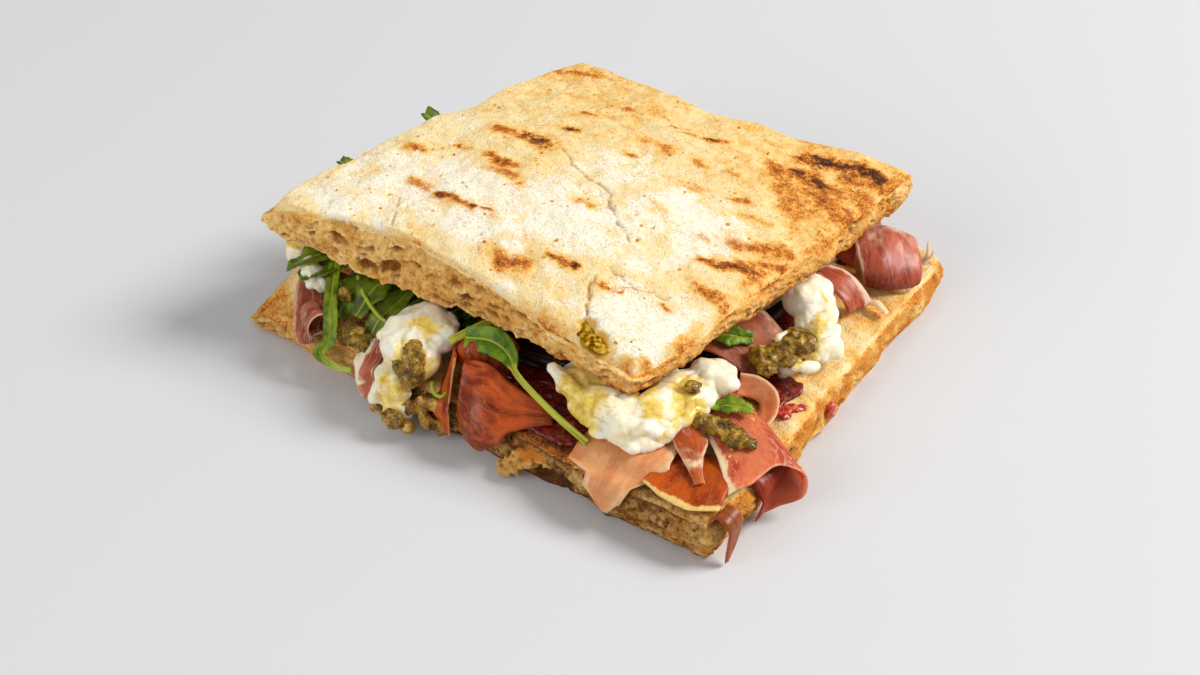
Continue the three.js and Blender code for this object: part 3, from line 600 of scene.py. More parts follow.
def lower_bread():
    """The lower slab: its top oily and pitted, its front side torn open round the hollow."""
    slab = Slab(LOWER, *LOWER_CELLS)
    x, y = slab.top[:, 0], slab.top[:, 1]
    drop, side_drop, inset = rim_drop(slab, LOWER_HALF, 1.2)
    height = ripples(x, y, (0.6, 6, 5, 41), (0.4, 2.8, 2.4, 42), (0.16, 1.3, 1.3, 43))
    spots = warp(slab.top * [1, 1, 0.3], 4, 1.2, 7)
    holes = 0.4 * bubbles(spots, 5.5, 0.3, 9) + 0.4 * bubbles(spots, 2.6, 0.35, 10)
    slab.top[:, 2] += (height - holes) * smooth(inset / 1.5) - drop
    wet = bell((x - 30) / 24) * bell((y + 72) / 10)
    worn = smooth((x - 44) / 8) * smooth((-y - 58) / 8)
    toast = 0.24 + 0.1 * smooth(0.5 - slab.top_uv[:, 0]) + 0.5 * wet
    toast += ripples(x, y, (0.1, 9, 8, 44), (0.1, 3, 3, 45))
    toast += 0.1 * np.exp(-inset / 3) * (0.4 + 1.2 * noise(x / 5, y / 5, 46))

    u, v = slab.side_uv.T
    offset, pores, inner = side_surface(slab, along_sides(slab, 1.0, 0.7, 0.6, 0.9), 15, 0.7)
    flat = slab.side * [1, 1, 0]
    offset += 0.5 * np.exp(-slab.above_base / 1.2) * (0.2 + noise_at(flat, 3, 13))
    front = smooth((-v - 0.97) / 0.03)
    middle_x, middle_z, reach_x, reach_z = HOLLOW
    ragged = warp(slab.side, 3, 1.2, 19)
    away = np.hypot((ragged[:, 0] - middle_x) / reach_x, (ragged[:, 2] - middle_z) / reach_z)
    hollow = front * smooth(2.2 - 1.9 * away)
    side = slab.side + slab.side_out * (offset - 8 * hollow)[:, None]
    side[:, 2] = np.maximum(side[:, 2] - side_drop, 0)
    crust = smooth(1.5 - slab.above_base / (1.5 + 0.6 * noise_at(flat, 7, 14)))
    # Toast along the top edge and base crust, stronger on the front and left: the crust's own browning, and
    # painted shade of the sides turned away from the light.
    dark = 1 - along_sides(slab, 0, 1, 0.6, 0.2)
    side_toast = 0.14 + 0.26 * dark * bell(slab.below_top / 1.6) + (0.1 + 0.3 * dark) * crust
    side_toast += along_sides(slab, 0.06, 0.24, 0.2, 0.1) + 0.2 * noise_at(slab.side, 4, 17)
    # The front side is darkened, partly by oil stains and partly as painted shade of a side turned away from
    # the light; its left part stays pale and dry.
    darkened = along_sides(slab, 0.95, 0, 0.1, 0.2) * (1 + 0.5 * noise_at(slab.side, 4, 18))
    darkened *= mix(0.35, 1, smooth((u + 0.55) / 0.4))
    soaked = 0.2 * front * smooth(0.2 + noise_at(slab.side, 5, 18))
    return slab_piece(
        "lower_bread", slab, side,
        toast=(toast, side_toast, 0.6),
        # The hollow beside the flap is painted dark as the flap's shadow.
        char=(0.6 * worn + 0.4 * wet, np.clip(darkened + 1.4 * hollow, 0, 1.4), 0),
        flour=(0, 0, 0),
        crumb=(0.2 + 0.7 * worn, inner * (1 - crust), 0),
        pore=(np.clip(holes / 1.5, 0, 1), np.clip(pores / 2.2, 0, 1) * (1 - hollow), 0),
        oil=(0, soaked, 0),
    )


def bread_flap():
    """The torn flap of crumb that juts out of the lower bread's front side."""
    skin, faces, normals = fused(studded(FLAP, 8, 1.3, 3, 0.8), 0.5, 1, rough=0.3, seed=6)
    spots = warp(skin, 2, 0.8, 3)
    pores = np.maximum(bubbles(spots, 2.8, 0.5, 2), bubbles(spots, 1.6, 0.6, 5))
    rough = 0.9 * (0.3 - np.abs(noise_at(spots, 2.4, 6))) + 0.6 * noise_at(spots, 1.0, 7)
    skin = pushed(skin, normals, rough - 0.9 * pores)
    toast = 0.12 + 0.44 * smooth((skin[:, 2] - 8) / 2.5) + 0.16 * noise_at(skin, 2.2, 8)
    darkened = 0.25 + 0.3 * noise_at(skin, 2, 9)
    marks = bread_marks(toast, char=darkened, crumb=0 * toast + 1, pore=np.clip(pores / 2, 0, 1))
    return make_object("lower_bread_flap", skin, [faces], marks)


# Lumps: cheese and pesto


def ball(detail):
    """Unit icosphere as points and triangles."""
    made = bmesh.new()
    bmesh.ops.create_icosphere(made, subdivisions=detail, radius=1)
    points = np.array([v.co for v in made.verts])
    faces = np.array([[v.index for v in f.verts] for f in made.faces])
    made.free()
    return points, faces


BALLS = {detail: ball(detail) for detail in (2, 4)}


def fused(lumps, voxel, settle, rough=0.12, seed=1, floor=0.4, detail=4):
    """One skin around lumps, each (x, y, z, radius x, y, z): its points, faces and normals."""
    sphere, triangles = BALLS[detail]
    parts = []
    for cx, cy, cz, *radii in lumps:
        swell = 1 + rough * noise(*(sphere * 1.7 + [cx, cy, seed]).T)
        made = sphere * radii * swell[:, None] + [cx, cy, cz]
        made[:, 2] = np.maximum(made[:, 2], floor)
        parts.append((made, [triangles], {}))
    rough_piece = make_object("lumps", *joined(parts))
    remesh = rough_piece.modifiers.new("skin", "REMESH")
    remesh.mode, remesh.voxel_size, remesh.use_smooth_shade = "VOXEL", voxel * MM, True
    soften = rough_piece.modifiers.new("soften", "SMOOTH")
    soften.factor, soften.iterations = 0.5, settle
    evaluated = rough_piece.evaluated_get(bpy.context.evaluated_depsgraph_get())
    mesh = evaluated.to_mesh()
    skin, normals = read(mesh.vertices, "co"), read(mesh.vertex_normals, "vector")
    corners = read(mesh.loops, "vertex_index", 1, 4, np.int32)
    evaluated.to_mesh_clear()
    data = rough_piece.data
    bpy.data.objects.remove(rough_piece)
    bpy.data.meshes.remove(data)
    return skin.astype(float) / MM, corners, normals.astype(float)


# No vertex of a pushed skin lies lower than this, in mm above the base.
LOWEST = 0.3


def pushed(skin, normals, amount):
    """A skin moved along its normals by an amount in mm for each point."""
    skin = skin + normals * amount[:, None]
    skin[:, 2] = np.maximum(skin[:, 2], LOWEST)
    return skin


def paste(name, lumps, voxel, settle, rough, seed, bumps, chunk=None):
    """Lumps fused to a bumpy mass; bumps and the mark called chunk are noise as waves takes it."""
    skin, faces, normals = fused(lumps, voxel, settle, rough, seed, detail=2)
    skin = pushed(skin, normals, waves(skin, *bumps))
    return make_object(name, skin, [faces], dict(chunk=0.5 + waves(skin, chunk)) if chunk else {})


def studded(lumps, per_lump, size, seed, reach=0.95):
    """Adds small seeded chunks all over the skin of lumps."""
    chance = np.random.default_rng(seed)
    extra = []
    for *middle, rx, ry, rz in lumps:
        for _ in range(per_lump):
            way = unit(chance.normal(size=3)) * reach
            radii = size * min(1, min(rx, ry, rz) / 3) * chance.uniform(0.55, 1.3, 3)
            extra.append((*(middle + way * [rx, ry, rz]), *radii))
    return list(lumps) + extra


def strand(start, end, wide, narrow, count=7):
    """A row of lumps from one place to another that fuse into a finger."""
    shares = np.linspace(0, 1, count)
    places = np.array(start) + (np.array(end) - start) * shares[:, None]
    return [(*place, r, r, r * 0.85) for place, r in zip(places, wide + (narrow - wide) * shares)]


CHEESE = {
    "cheese_near": [
        (42, -59, 22.5, 15, 10, 7.4), (54, -55, 21.5, 10, 12, 8), (57, -43, 23.5, 10, 13, 6),
        (61.5, -30, 25, 7, 7, 4), (30, -56, 24.5, 9, 7, 5), (50, -64.5, 23.5, 5, 4, 5.5),
        (58, -58, 24, 4, 6, 5),
    ],
    "cheese_front": [
        (-25, -64, 25.5, 11, 9, 6), (-25, -73, 21, 10, 7.5, 7.5), (-25, -81, 14, 6.5, 4.5, 6.5),
        (-24, -83, 7, 6, 4.5, 5),
    ],
    "cheese_right": [
        (64, 20, 26, 8, 9, 6), (71, 14, 23.5, 6.5, 8, 5), (77, 6, 20, 4.5, 7, 4.5),
        (72, -6, 19.5, 6, 5, 3.5),
    ],
    "cheese_left_corner": [(-85, -58, 28, 5.5, 5, 4.5)],
    "cheese_left_low": [
        (-76, -62, 27, 2.6, 2.4, 2.6), (-73, -64, 27, 2.8, 2.4, 2.4), (-74.5, -63.5, 24, 3, 2.6, 2.8),
        (-71.5, -65, 23.5, 2.8, 2.4, 2.4),
    ],
    "cheese_back": [(14, 58, 26, 12, 10, 6.5), (25, 67, 20.5, 9, 7, 6)],
    "cheese_back_corner": [(-45, 62, 28, 8, 7, 5.5)],
    "cheese_left_side": [(-66, 20, 27, 8, 11, 6), (-74, 27, 20.5, 6, 8, 6)],
}
CHEESE_FLOOR = {"cheese_near": 20.4}  # the lumps of this heap, which lies on ham, reach no lower

# Torn fingers and scraps that stand out of the cheese.
CHEESE_SHREDS = {
    "cheese_near": [
        *strand((22, -60, 29.5), (32, -63, 28), 2.5, 2.3),
        *strand((32, -63, 28), (40, -64.5, 24.5), 2.3, 1.2),
        *strand((56, -31, 27.5), (67, -32, 26.5), 3, 3.6),
        *strand((44, -68, 22), (56, -67.5, 21.6), 2, 2.2, 9),
    ],
    "cheese_front": [
        *strand((-33, -69, 27), (-35, -73, 24), 3.2, 2),
        *strand((-29, -82, 16), (-29.5, -86, 10), 2.2, 1.6),
    ],
    "cheese_right": [
        *strand((78, 12, 23), (82.5, 7, 19.5), 2.8, 2),
        *strand((76.5, -9, 21.6), (81, -4, 20.6), 1.8, 1.3),
        *strand((68, -4, 25.5), (69, -1, 26), 1.6, 1.2, 3),
        *strand((66, 24, 29), (72, 20, 27), 2.6, 2),
    ],
}

# Oil that has run from the pesto over the cheese: x, y, z, reach.
OIL = [
    (61, -44, 30, 8), (38, -66, 25, 10), (33, -60, 24, 8), (66, -50, 25, 9), (30, -61, 27, 5),
    (48, -50, 29.5, 8), (56, -58, 27, 6), (45, -70, 21, 6), (60, -54, 25, 6), (-19.5, -78, 22, 8),
    (-21, -68, 31, 5), (-22, -84, 12, 8), (-27, -82, 14, 5), (74, 0, 25, 8), (66, -2, 24, 7),
    (74, 9, 25, 6), (79, -6, 22, 4), (-85, -60, 30, 4), (70, 18, 29, 3), (18, 64, 29, 6),
    (30, 70, 22, 5), (-48, 66, 30, 6), (-72, 16, 29, 6), (-78, 30, 20, 5),
]


def oil_at(points):
    reach = np.zeros(len(points))
    spots = warp(warp(points, 7, 3.4, 2), 2.6, 1.3, 5)
    for x, y, z, radius in OIL:
        away = np.linalg.norm((spots - [x, y, z]) * [1, 1, 0.8], axis=1) / radius
        reach = np.maximum(reach, smooth(1.35 - away))
    return reach


PESTO = {
    "pesto_front": [(-20.5, -76.5, 24, 5, 4.5, 5), (-19.5, -79, 19, 4.5, 4, 4)],
    "pesto_front_low": [(-20, -88, 7.5, 5, 3, 4)],
    "pesto_left": [(-47, -73, 17.5, 6, 4.5, 4)],
    "pesto_near": [(70, -48, 23.6, 6, 4.2, 3), (79, -48, 23, 5.5, 4.2, 3)],
    "pesto_near_dot": [(61, -43, 30, 3, 3, 2.4)],
    "pesto_leaf": [(-56, -67.5, 27, 3.4, 2.4, 3.4)],
    "pesto_right": [
        (74, 0, 24.5, 5.5, 5.5, 3.2), (70, -7, 23.6, 4.5, 4.5, 3), (67, -12, 22.8, 6, 5, 3.4),
    ],
}
# Pesto that has spread thinly around the heaps.
PESTO_SPREAD = {
    "pesto_front": [
        (-22.5, -80, 21, 3.4, 2, 4), (-16.5, -79.5, 22.5, 2.4, 2.4, 4), (-20.6, -75, 28, 3, 2.6, 1.6),
    ],
    "pesto_right": [
        (71, -1, 25.5, 3.6, 5, 2), (73.5, -9, 23.4, 3.6, 4, 2), (70.5, -15.5, 22.4, 3.4, 3, 2.2),
    ],
    "pesto_near": [(75, -46.5, 23.4, 5, 3, 2.2), (83.5, -46.5, 21.8, 2.4, 2.4, 1.6)],
    "pesto_left": [(-52, -74, 16, 3, 2.4, 3), (-43, -74.5, 15.5, 3, 2.4, 3)],
}


def cheese_piece(name, lumps, seed):
    """A heap of soft curd with folds in its skin, stained where oil has run."""
    whole = studded(lumps, 5, 2.8, seed, 0.76) + CHEESE_SHREDS.get(name, [])
    skin, faces, normals = fused(whole, 0.62, 6, seed=seed, floor=CHEESE_FLOOR.get(name, 0.4))
    spots = warp(warp(skin * [1, 1, 0.7], 7, 2.6, seed), 2.5, 0.8, seed + 3)
    broad, small = np.abs(noise_at(spots, 6.5, seed)), np.abs(noise_at(spots, 2.6, seed + 1))
    folds = 1.5 * broad**0.75 + 0.4 * small**0.8 - 0.65 + 0.1 * noise_at(skin, 0.9, seed + 2)
    skin = pushed(skin, normals, folds)
    crease = np.maximum(np.exp(-broad / 0.05), 0.6 * np.exp(-small / 0.06))
    foot = 0.55 * smooth((skin[:, 2].min() + 2.2 - skin[:, 2]) / 1.6)
    foot *= smooth(0.7 + noise_at(skin, 5, seed + 4))
    marks = dict(oil=np.maximum(oil_at(skin), foot), crease=crease)
    return make_object(name + "_curd", skin, [faces], marks)


def pesto_piece(name, lumps, seed):
    """A heap of pesto, its outside all small lumps."""
    inner = [(x, y, z, rx - 0.6, ry - 0.6, rz - 0.5) for x, y, z, rx, ry, rz in lumps]
    lumps = studded(inner + PESTO_SPREAD.get(name, []), 30, 0.95, seed, 0.9)
    bumps = [(0.14, 0.8, seed), (0.36, 1.9, seed)]
    return paste(name + "_paste", lumps, 0.38, 3, 0.25, seed, bumps, (0.5, 1.6, seed))


# Thin sheets: ham


def closed_sheet(middle, thickness, marks, taper=1.0):
    """A thin solid around a grid of points, its edges thinner than its middle."""
    rows, cols = middle.shape[:2]
    ds, dt = np.gradient(middle, axis=0), np.gradient(middle, axis=1)
    normal = unit(np.cross(ds, dt))
    run_s = np.cumsum(np.linalg.norm(ds, axis=-1), 0)
    run_t = np.cumsum(np.linalg.norm(dt, axis=-1), 1)
    edge = np.minimum(np.minimum(run_s, run_s[-1:] - run_s), np.minimum(run_t, run_t[:, -1:] - run_t))
    half = 0.5 * thickness * (0.3 + 0.7 * smooth(np.maximum(edge, 0) / taper))
    offset = normal * half[..., None]
    points = np.concatenate([(middle + offset).reshape(-1, 3), (middle - offset).reshape(-1, 3)])
    count, grid, loop = rows * cols, grid_faces(rows, cols), grid_rim(rows, cols)
    rim = band(loop, loop + count)[:, [0, 3, 2, 1]]
    doubled = {key: np.concatenate([v.reshape(count, -1).squeeze()] * 2) for key, v in marks.items()}
    return points, [grid[:, ::-1], grid + count, rim], doubled


# Thickness of the thin pieces here, and half the thickness that they have in the part's source.
HAM_THICKNESS, LEAF_THICKNESS, SALAD_THICKNESS = 0.95, 0.75, 0.6
HAM_HALF, LEAF_HALF = 0.6, 0.45

# Rows and columns of the two slices that show most.
FINE_CELLS = (84, 84)
# Each slice's tone, seed, ripple, fat along its edges (reach and amount), and the curves across it,
# which are those of the part's source.
HAM = {
    "ham_near_gold": ("gold", dict(seed=1, ripple=0.1, fat=dict(s1=(1.5, 0.8)), rails=[
        [(61, -56, 17.2), (63, -66, 17.4), (63.5, -74, 17)],
        [(69, -55, 17.2), (71, -65, 17.6), (72.5, -76, 16.5)],
        [(76, -52, 17.2), (79, -63, 17.8), (81, -75.5, 16.2)],
        [(81, -48, 17.2), (85, -58, 17.8), (89, -70.5, 16)],
    ])),
    "ham_near_red": ("red", dict(
        seed=2, fat=dict(t0=(2.2, 0.95), s1=(0.8, 0.4)), painted_shade=("t", 0.58, 0.76), cells=FINE_CELLS,
        rails=[
            [(61, -46, 20.2), (76, -54, 19.7), (87, -65, 16.5)],
            [(62, -41, 20.8), (76, -48, 21), (91, -58, 17.5)],
            [(63, -34, 20.8), (79, -39, 21), (94, -47, 18.5)],
            [(66, -29, 20.6), (82, -34, 19), (101, -42, 14.5)],
            [(66, -28, 18.6), (83, -35, 17), (102, -44, 8.5)],
            [(65, -32, 17.6), (80, -41, 16.8), (96, -51, 5.5)],
            [(64, -38, 17.6), (80, -47, 16.8), (91, -59, 5)],
        ],
    )),
    "ham_near_pale": ("pale", dict(seed=3, fat=dict(s1=(1.6, 0.5), t1=(2, 0.5)), rails=[
        [(38, -62, 18.5), (39, -70, 17.5), (39, -77, 15.5)],
        [(45, -58, 19), (47, -70, 18.5), (48, -79, 12)],
        [(53, -56, 19), (55, -70, 18.5), (56, -80, 6)],
        [(60, -54, 19.4), (60, -67, 19.3), (60.5, -79, 11)],
        [(66, -52, 19.6), (67, -60, 19.4), (69, -66, 19.1)],
    ])),
    "ham_near_strip": ("orange", dict(
        seed=4, ripple=0, fat=dict(t0=(0.5, 0.5), t1=(0.5, 0.5)), veil=(0.62, 0.24, 0.62),
        rails=[
            [(58, -53.5, 22), (63.4, -59.4, 21.6), (69, -62.4, 20.4), (74.4, -65.2, 19.6),
             (78.4, -68, 18.8)],
            [(63, -51, 22.6), (69, -56, 22.4), (72.6, -60, 21), (76, -63.6, 20), (79.6, -67.2, 19.1)],
            [(68, -48.6, 22), (74.6, -53, 21.5), (75.6, -58, 20.6), (77.6, -62.2, 19.7),
             (80.8, -66.2, 18.8)],
        ],
    )),
    "ham_near_hanging": ("bark", dict(seed=5, ripple=0, fat=dict(t1=(0.8, 0.5)), rails=[
        [(89, -74, 15), (93.4, -74.5, 11), (93.4, -75, 6), (92.2, -75, 1.1)],
        [(89, -66, 15), (93.4, -67, 10), (93.4, -70, 5), (92.2, -73.4, 1.1)],
    ])),
    "ham_right_inner": ("mauve", dict(seed=6, fat=dict(t1=(3, 0.5)), rails=[
        [(44, -24, 24), (52, -20, 23), (60, -19, 21), (66, -20, 19.5)],
        [(46, -12, 24.5), (54, -11, 23.5), (62, -11, 21), (68, -13, 18.5)],
        [(48, -2, 25.5), (56, -2, 24), (63, -3, 21), (70, -5, 18)],
        [(50, 6, 26), (57, 7, 24), (64, 6, 20), (70, 4, 17)],
    ])),
    "ham_right_curl": ("peach", dict(seed=7, ripple=0.1, fat=dict(t1=(0.7, 0.6)), rails=[
        [(67, -28, 17.8), (69, -26, 17.5), (73, -25, 16.8), (75.5, -29, 16.4), (75, -35, 16.2)],
        [(66, -24, 20.5), (71, -21.5, 20), (76.5, -23, 19), (79.5, -28, 17.4), (79, -35, 16.2)],
        [(65, -22, 23), (71, -19, 22.5), (78, -20.5, 21.5), (82, -27, 18.8), (82, -34, 17)],
    ])),
    "ham_right_red": ("roll", dict(seed=8, ripple=0.5, fat=dict(t1=(2.2, 0.95)), rails=[
        [(60, 31, 25), (66, 30, 24.5), (71.5, 29.2, 22), (75.4, 28.6, 17)],
        [(61, 35, 25.5), (67, 35, 25), (73, 34.6, 21.8), (77, 34, 16.4)],
        [(62, 39, 25.6), (68, 39.6, 25), (74.6, 40, 21.6), (79, 40, 16.2)],
    ])),
    "ham_right_roll": ("roll", dict(
        seed=9, ripple=0.2, fat=dict(t0=(1.0, 0.7)), veil=(0.34, 0.24, 0.55), painted_shade=("s", 0.5, 1.1),
        rails=[
            [(55, 60, 18), (57, 60, 25), (61, 55, 27.5), (66.6, 47.6, 26), (70.6, 44.6, 21),
             (71, 45.6, 16.5)],
            [(65, 70, 17), (65, 69, 25), (70, 62.6, 28.3), (76, 54.6, 25.5), (80, 49.4, 20),
             (79, 48.8, 15.8)],
            [(76, 74, 16), (77, 73, 21), (79.2, 68.8, 24.4), (83.8, 63.2, 21.8), (86.8, 58, 17),
             (84.8, 56.6, 15)],
        ],
    )),
    "ham_front_roll": ("dark", dict(
        seed=10, fat=dict(t0=(0.5, 0.7)), painted_shade=("t", 0.6, 1.3), cells=FINE_CELLS,
        rails=[
            [(-3.6, -68, 24.6), (3, -65, 23.6), (10.5, -65.5, 20.8), (17, -65.2, 19), (26, -64.5, 16.8)],
            [(-4.2, -70.6, 27), (3.4, -68, 26.4), (11.2, -69, 23), (17.4, -67.8, 20.8),
             (26.4, -65.2, 17.4)],
            [(-2.6, -75, 22.4), (4.6, -76, 22.2), (12.2, -76, 19.8), (19, -72, 18.2), (27, -66, 16.7)],
            [(-0.6, -79.6, 14), (6.4, -82.4, 14), (14, -80.8, 13.6), (20, -74.6, 16), (28, -67, 16)],
            [(3.4, -81.4, 6), (9, -82.4, 5), (15, -80.4, 9), (21, -74.4, 14.8), (28, -68, 15.5)],
        ],
    )),
    "ham_front_upright": ("dark", dict(seed=12, ripple=0.1, fat=dict(t0=(0.6, 0.6)), rails=[
        [(-7, -71.8, 27), (-5.4, -76.2, 20.4), (-3.6, -80.2, 12.8), (-1.6, -83, 6)],
        [(-11.5, -66, 26), (-10.6, -71, 20), (-9, -77, 14), (-7.4, -80.4, 7)],
        [(-13, -58, 25), (-14, -62, 21), (-14, -66, 18), (-14, -71, 16)],
    ])),
    "ham_front_hump": ("dark", dict(seed=13, ripple=0.1, fat={}, rails=[
        [(-14, -56, 22), (-13, -61, 24.5), (-12, -66, 23.5), (-11, -67.5, 20)],
        [(-8, -55, 27), (-7, -62, 30.2), (-6, -67.5, 28.4), (-5, -68, 23)],
        [(-3, -52, 27), (-2.4, -59, 29.6), (-1, -65, 27.4), (0, -65.5, 22)],
        [(0, -51, 24), (1, -57, 25.6), (2, -62, 23.4), (2, -63, 20)],
        [(1, -50, 20), (2, -55, 20.6), (3, -59, 19), (3, -60, 17.5)],
    ])),
    "ham_front_small": ("rind", dict(seed=14, fat=dict(t0=(4, 1.0), t1=(0.8, 0.6)), rails=[
        [(-45, -64, 17), (-45, -74, 16), (-43, -80, 10), (-40, -81, 5.5)],
        [(-40, -63, 18.5), (-40, -73, 17.5), (-38, -82, 11.5), (-36, -84, 4.5)],
        [(-35, -63, 17.5), (-36, -71, 16.5), (-34.5, -79, 11), (-33, -82, 6)],
    ])),
    "ham_left_corner": ("mauve", dict(
        seed=15, ripple=0.2, fat=dict(t0=(1.0, 0.6), t1=(0.8, 0.4)),
        rails=[
            [(-81, -58, 23), (-79, -67, 20.5), (-75, -73, 17), (-71, -78, 12.5), (-69, -80, 9)],
            [(-73, -55, 22), (-71.5, -64, 20), (-69, -70, 17.5), (-66, -76.5, 14), (-64.6, -79.4, 10)],
            [(-65, -53, 20), (-65, -62, 19), (-64, -68, 17.5), (-62.6, -74, 15.5), (-61.6, -77.4, 12)],
        ],
    )),
    "ham_back_fold": ("red", dict(seed=17, ripple=0.9, fat=dict(t0=(2, 0.7)), rails=[
        [(-33, 61, 22), (-34, 66, 24), (-35, 73, 21), (-35, 75, 17.5), (-33, 68, 16)],
        [(-18, 61, 23), (-18, 67, 26), (-18, 77, 22), (-18, 79, 17.5), (-18, 68, 16)],
        [(-4, 61, 22), (-4, 66, 24), (-3, 73, 21), (-3, 75, 17.5), (-5, 68, 16)],
    ])),
    "ham_back_drape": ("orange", dict(seed=18, ripple=0.8, fat=dict(t1=(2.4, 0.9), s1=(1, 0.6)), rails=[
        [(36, 60, 21), (35, 72, 19), (34, 81, 15), (34, 84, 7)],
        [(46, 60, 23), (46, 73, 20), (46, 84, 15), (45, 87, 6)],
        [(56, 62, 21), (57, 73, 19), (58, 83, 15), (57, 86, 9)],
    ])),
    "ham_back_corner": ("mauve", dict(seed=20, ripple=0.9, fat=dict(s1=(2, 0.8)), rails=[
        [(-67, 38, 24), (-72, 40, 21), (-78, 42, 15.5)],
        [(-62, 53, 25), (-68, 57, 22), (-75, 62, 14.5)],
        [(-52, 63, 24), (-56, 68, 20.5), (-60, 74, 14.5)],
    ])),
    "ham_left_side": ("red", dict(seed=19, ripple=0.9, fat=dict(t0=(2, 0.7), s1=(1.4, 0.5)), rails=[
        [(-81, -40, 23), (-86, -39, 20), (-91, -38, 14), (-93, -37, 8)],
        [(-79, -26, 24), (-86, -25, 21), (-92, -24, 14), (-94, -23, 6)],
        [(-77, -12, 23), (-84, -11, 19), (-89, -10, 14), (-91, -9, 8)],
    ])),
}


def drawn_in(run, broad, fine, seed, which):
    """How far, in mm, a free edge lies inside its slice's outline along its run."""
    return broad + broad * noise(run / 9, seed, which) + fine * noise(run / 2, seed, which + 1)


def read_between(sheet, rows, cols):
    """Points of a sheet at places between its rows and columns."""
    rows = np.clip(rows, 0, len(sheet) - 1.001)
    cols = np.clip(cols, 0, len(sheet[0]) - 1.001)
    i, j = np.floor(rows).astype(int), np.floor(cols).astype(int)
    a, b = (rows - i)[..., None], (cols - j)[..., None]
    return mix(mix(sheet[i, j], sheet[i + 1, j], a), mix(sheet[i, j + 1], sheet[i + 1, j + 1], a), b)


def ham_piece(name, rails, seed, fat, ripple=0.35, veil=None, painted_shade=("t", 1, 2), cells=(56, 56)):
    """A slice laid through its curves, draped over the lower bread, with its fat and its painted shade
    marked.
    """
    s, t = np.linspace(0, 1, cells[0]), np.linspace(0, 1, cells[1])
    sheet = catmull(np.stack([catmull(rail, s) for rail in rails], 1), t)
    long = np.linalg.norm(np.diff(sheet[:, len(t) // 2], axis=0), axis=1).sum()
    wide = np.linalg.norm(np.diff(sheet[len(s) // 2], axis=0), axis=1).sum()
    end = (1 - drawn_in(t * wide, 0.5, 0.12, seed, 1) / long)[None, :]
    low = (drawn_in(s * long, 0.4, 0.1, seed, 3) / wide)[:, None]
    high = (1 - drawn_in(s * long, 0.4, 0.1, seed, 5) / wide)[:, None]
    ss, tt = s[:, None] * end, low + t[None, :] * (high - low)
    sheet = read_between(sheet, ss * (len(s) - 1), tt * (len(t) - 1))
    sheet[..., 2] += ripple * noise(sheet[..., 0] / 4, sheet[..., 1] / 4, seed)
    for _ in range(4):
        sheet = clear_of_lower(sheet, HAM_HALF)
        for _ in range(5):
            inner = sheet[1:-1, 1:-1]
            around = (sheet[:-2, 1:-1] + sheet[2:, 1:-1] + sheet[1:-1, :-2] + sheet[1:-1, 2:]) / 4
            sheet[1:-1, 1:-1] = mix(inner, around, 0.5)
    normal = unit(np.cross(np.gradient(sheet, axis=0), np.gradient(sheet, axis=1)))
    length, width = ss * long, tt * wide
    crease = ripples(length, width, (0.3, 9, 4, seed + 30), (0.06, 3, 1.6, seed + 31))
    sheet = sheet + normal * crease[..., None]

    bands = np.zeros(sheet.shape[:2])
    edges = dict(s0=length, s1=end * long - length, t0=width - low * wide, t1=high * wide - width)
    wander = ripples(length, width, (0.45, 3, 3, seed + 40), (0.25, 1.2, 1.2, seed + 41))
    for edge, (reach, amount) in fat.items():
        bands = np.maximum(bands, amount * smooth(1.5 - edges[edge] / reach + wander))
    if veil:
        middle, spread, amount = veil
        bands = np.maximum(bands, amount * bell((ss - middle) / spread) * (0.8 + 1.2 * wander))
    marks = dict(
        fat=bands,
        # This mark gives where the slice is darkened as painted shade, between two shares of t or s.
        painted_shade=smooth(((tt if painted_shade[0] == "t" else ss) - painted_shade[1]) / (painted_shade[2] - painted_shade[1])),
        sheet=np.stack([length / 10, width / 10, np.full(length.shape, float(seed))], -1),
    )
    points, faces, doubled = closed_sheet(sheet, HAM_THICKNESS, marks)
    return make_object(name + "_slice", points, faces, doubled)


def curl(centre, axis, wide, high, length, start, sweep):
    """Curves across a slice that curls round an axis, from the near end of the curl to the far one."""
    axis = unit(np.array(axis, float))
    level = unit(np.cross(axis, [0, 0, 1]))
    upward = np.cross(level, axis)
    angles = np.radians(np.linspace(start, start + sweep, 8))
    ring = [wide * math.cos(a) * level + high * math.sin(a) * upward for a in angles]
    return [[np.array(centre) + axis * length * k / 2 + p * (1 - 0.1 * k) for p in ring] for k in range(3)]


# Scraps of ham that have no solid of their own, given in the same way.
SCRAPS = {
    "ham_left_curl": ("mauve", dict(
        seed=21, ripple=0, fat=dict(t0=(0.4, 0.6)), cells=(90, 40),
        rails=curl((-60, -76.2, 17.2), (-0.9, 0.4, 0.15), 4.2, 5.6, 9, 20, 320),
    )),
    "ham_fat_scrap": ("pale", dict(seed=22, ripple=0.5, fat=dict(t0=(5, 0.9)), cells=(60, 30), rails=[
        [(75.5, 38, 15.4), (80, 37.6, 16.2), (85, 36, 15.4)],
        [(76, 40, 16.4), (80.4, 39.4, 17), (85, 37.8, 16.2)],
        [(76.5, 42, 15.4), (80.8, 41.4, 16.2), (85, 39.6, 15.4)],
    ])),
    "ham_roll_inner": ("dark", dict(
        seed=23, ripple=0.2, fat={}, painted_shade=("t", 0.2, 1.2), cells=(50, 30),
        rails=[
            [(51, 50, 20), (59, 49, 20), (66.5, 49, 19)],
            [(50, 53, 23.5), (58, 52, 24), (65.5, 50.5, 23.5)],
            [(49, 57, 26.5), (57, 55, 27), (63.5, 52.5, 27)],
        ],
    )),
    "ham_roll_under": ("dark", dict(
        seed=24, ripple=0.2, fat=dict(t1=(1.4, 0.95)), cells=(50, 30),
        rails=[
            [(53, 43, 16.8), (61, 41.5, 16.8), (69.8, 43.5, 16.4)],
            [(52.5, 45, 19), (60.5, 43.6, 19.4), (69, 45, 19)],
            [(52, 47.5, 21), (60, 46.5, 21.8), (68, 47, 21.4)],
        ],
    )),
}


# Arugula


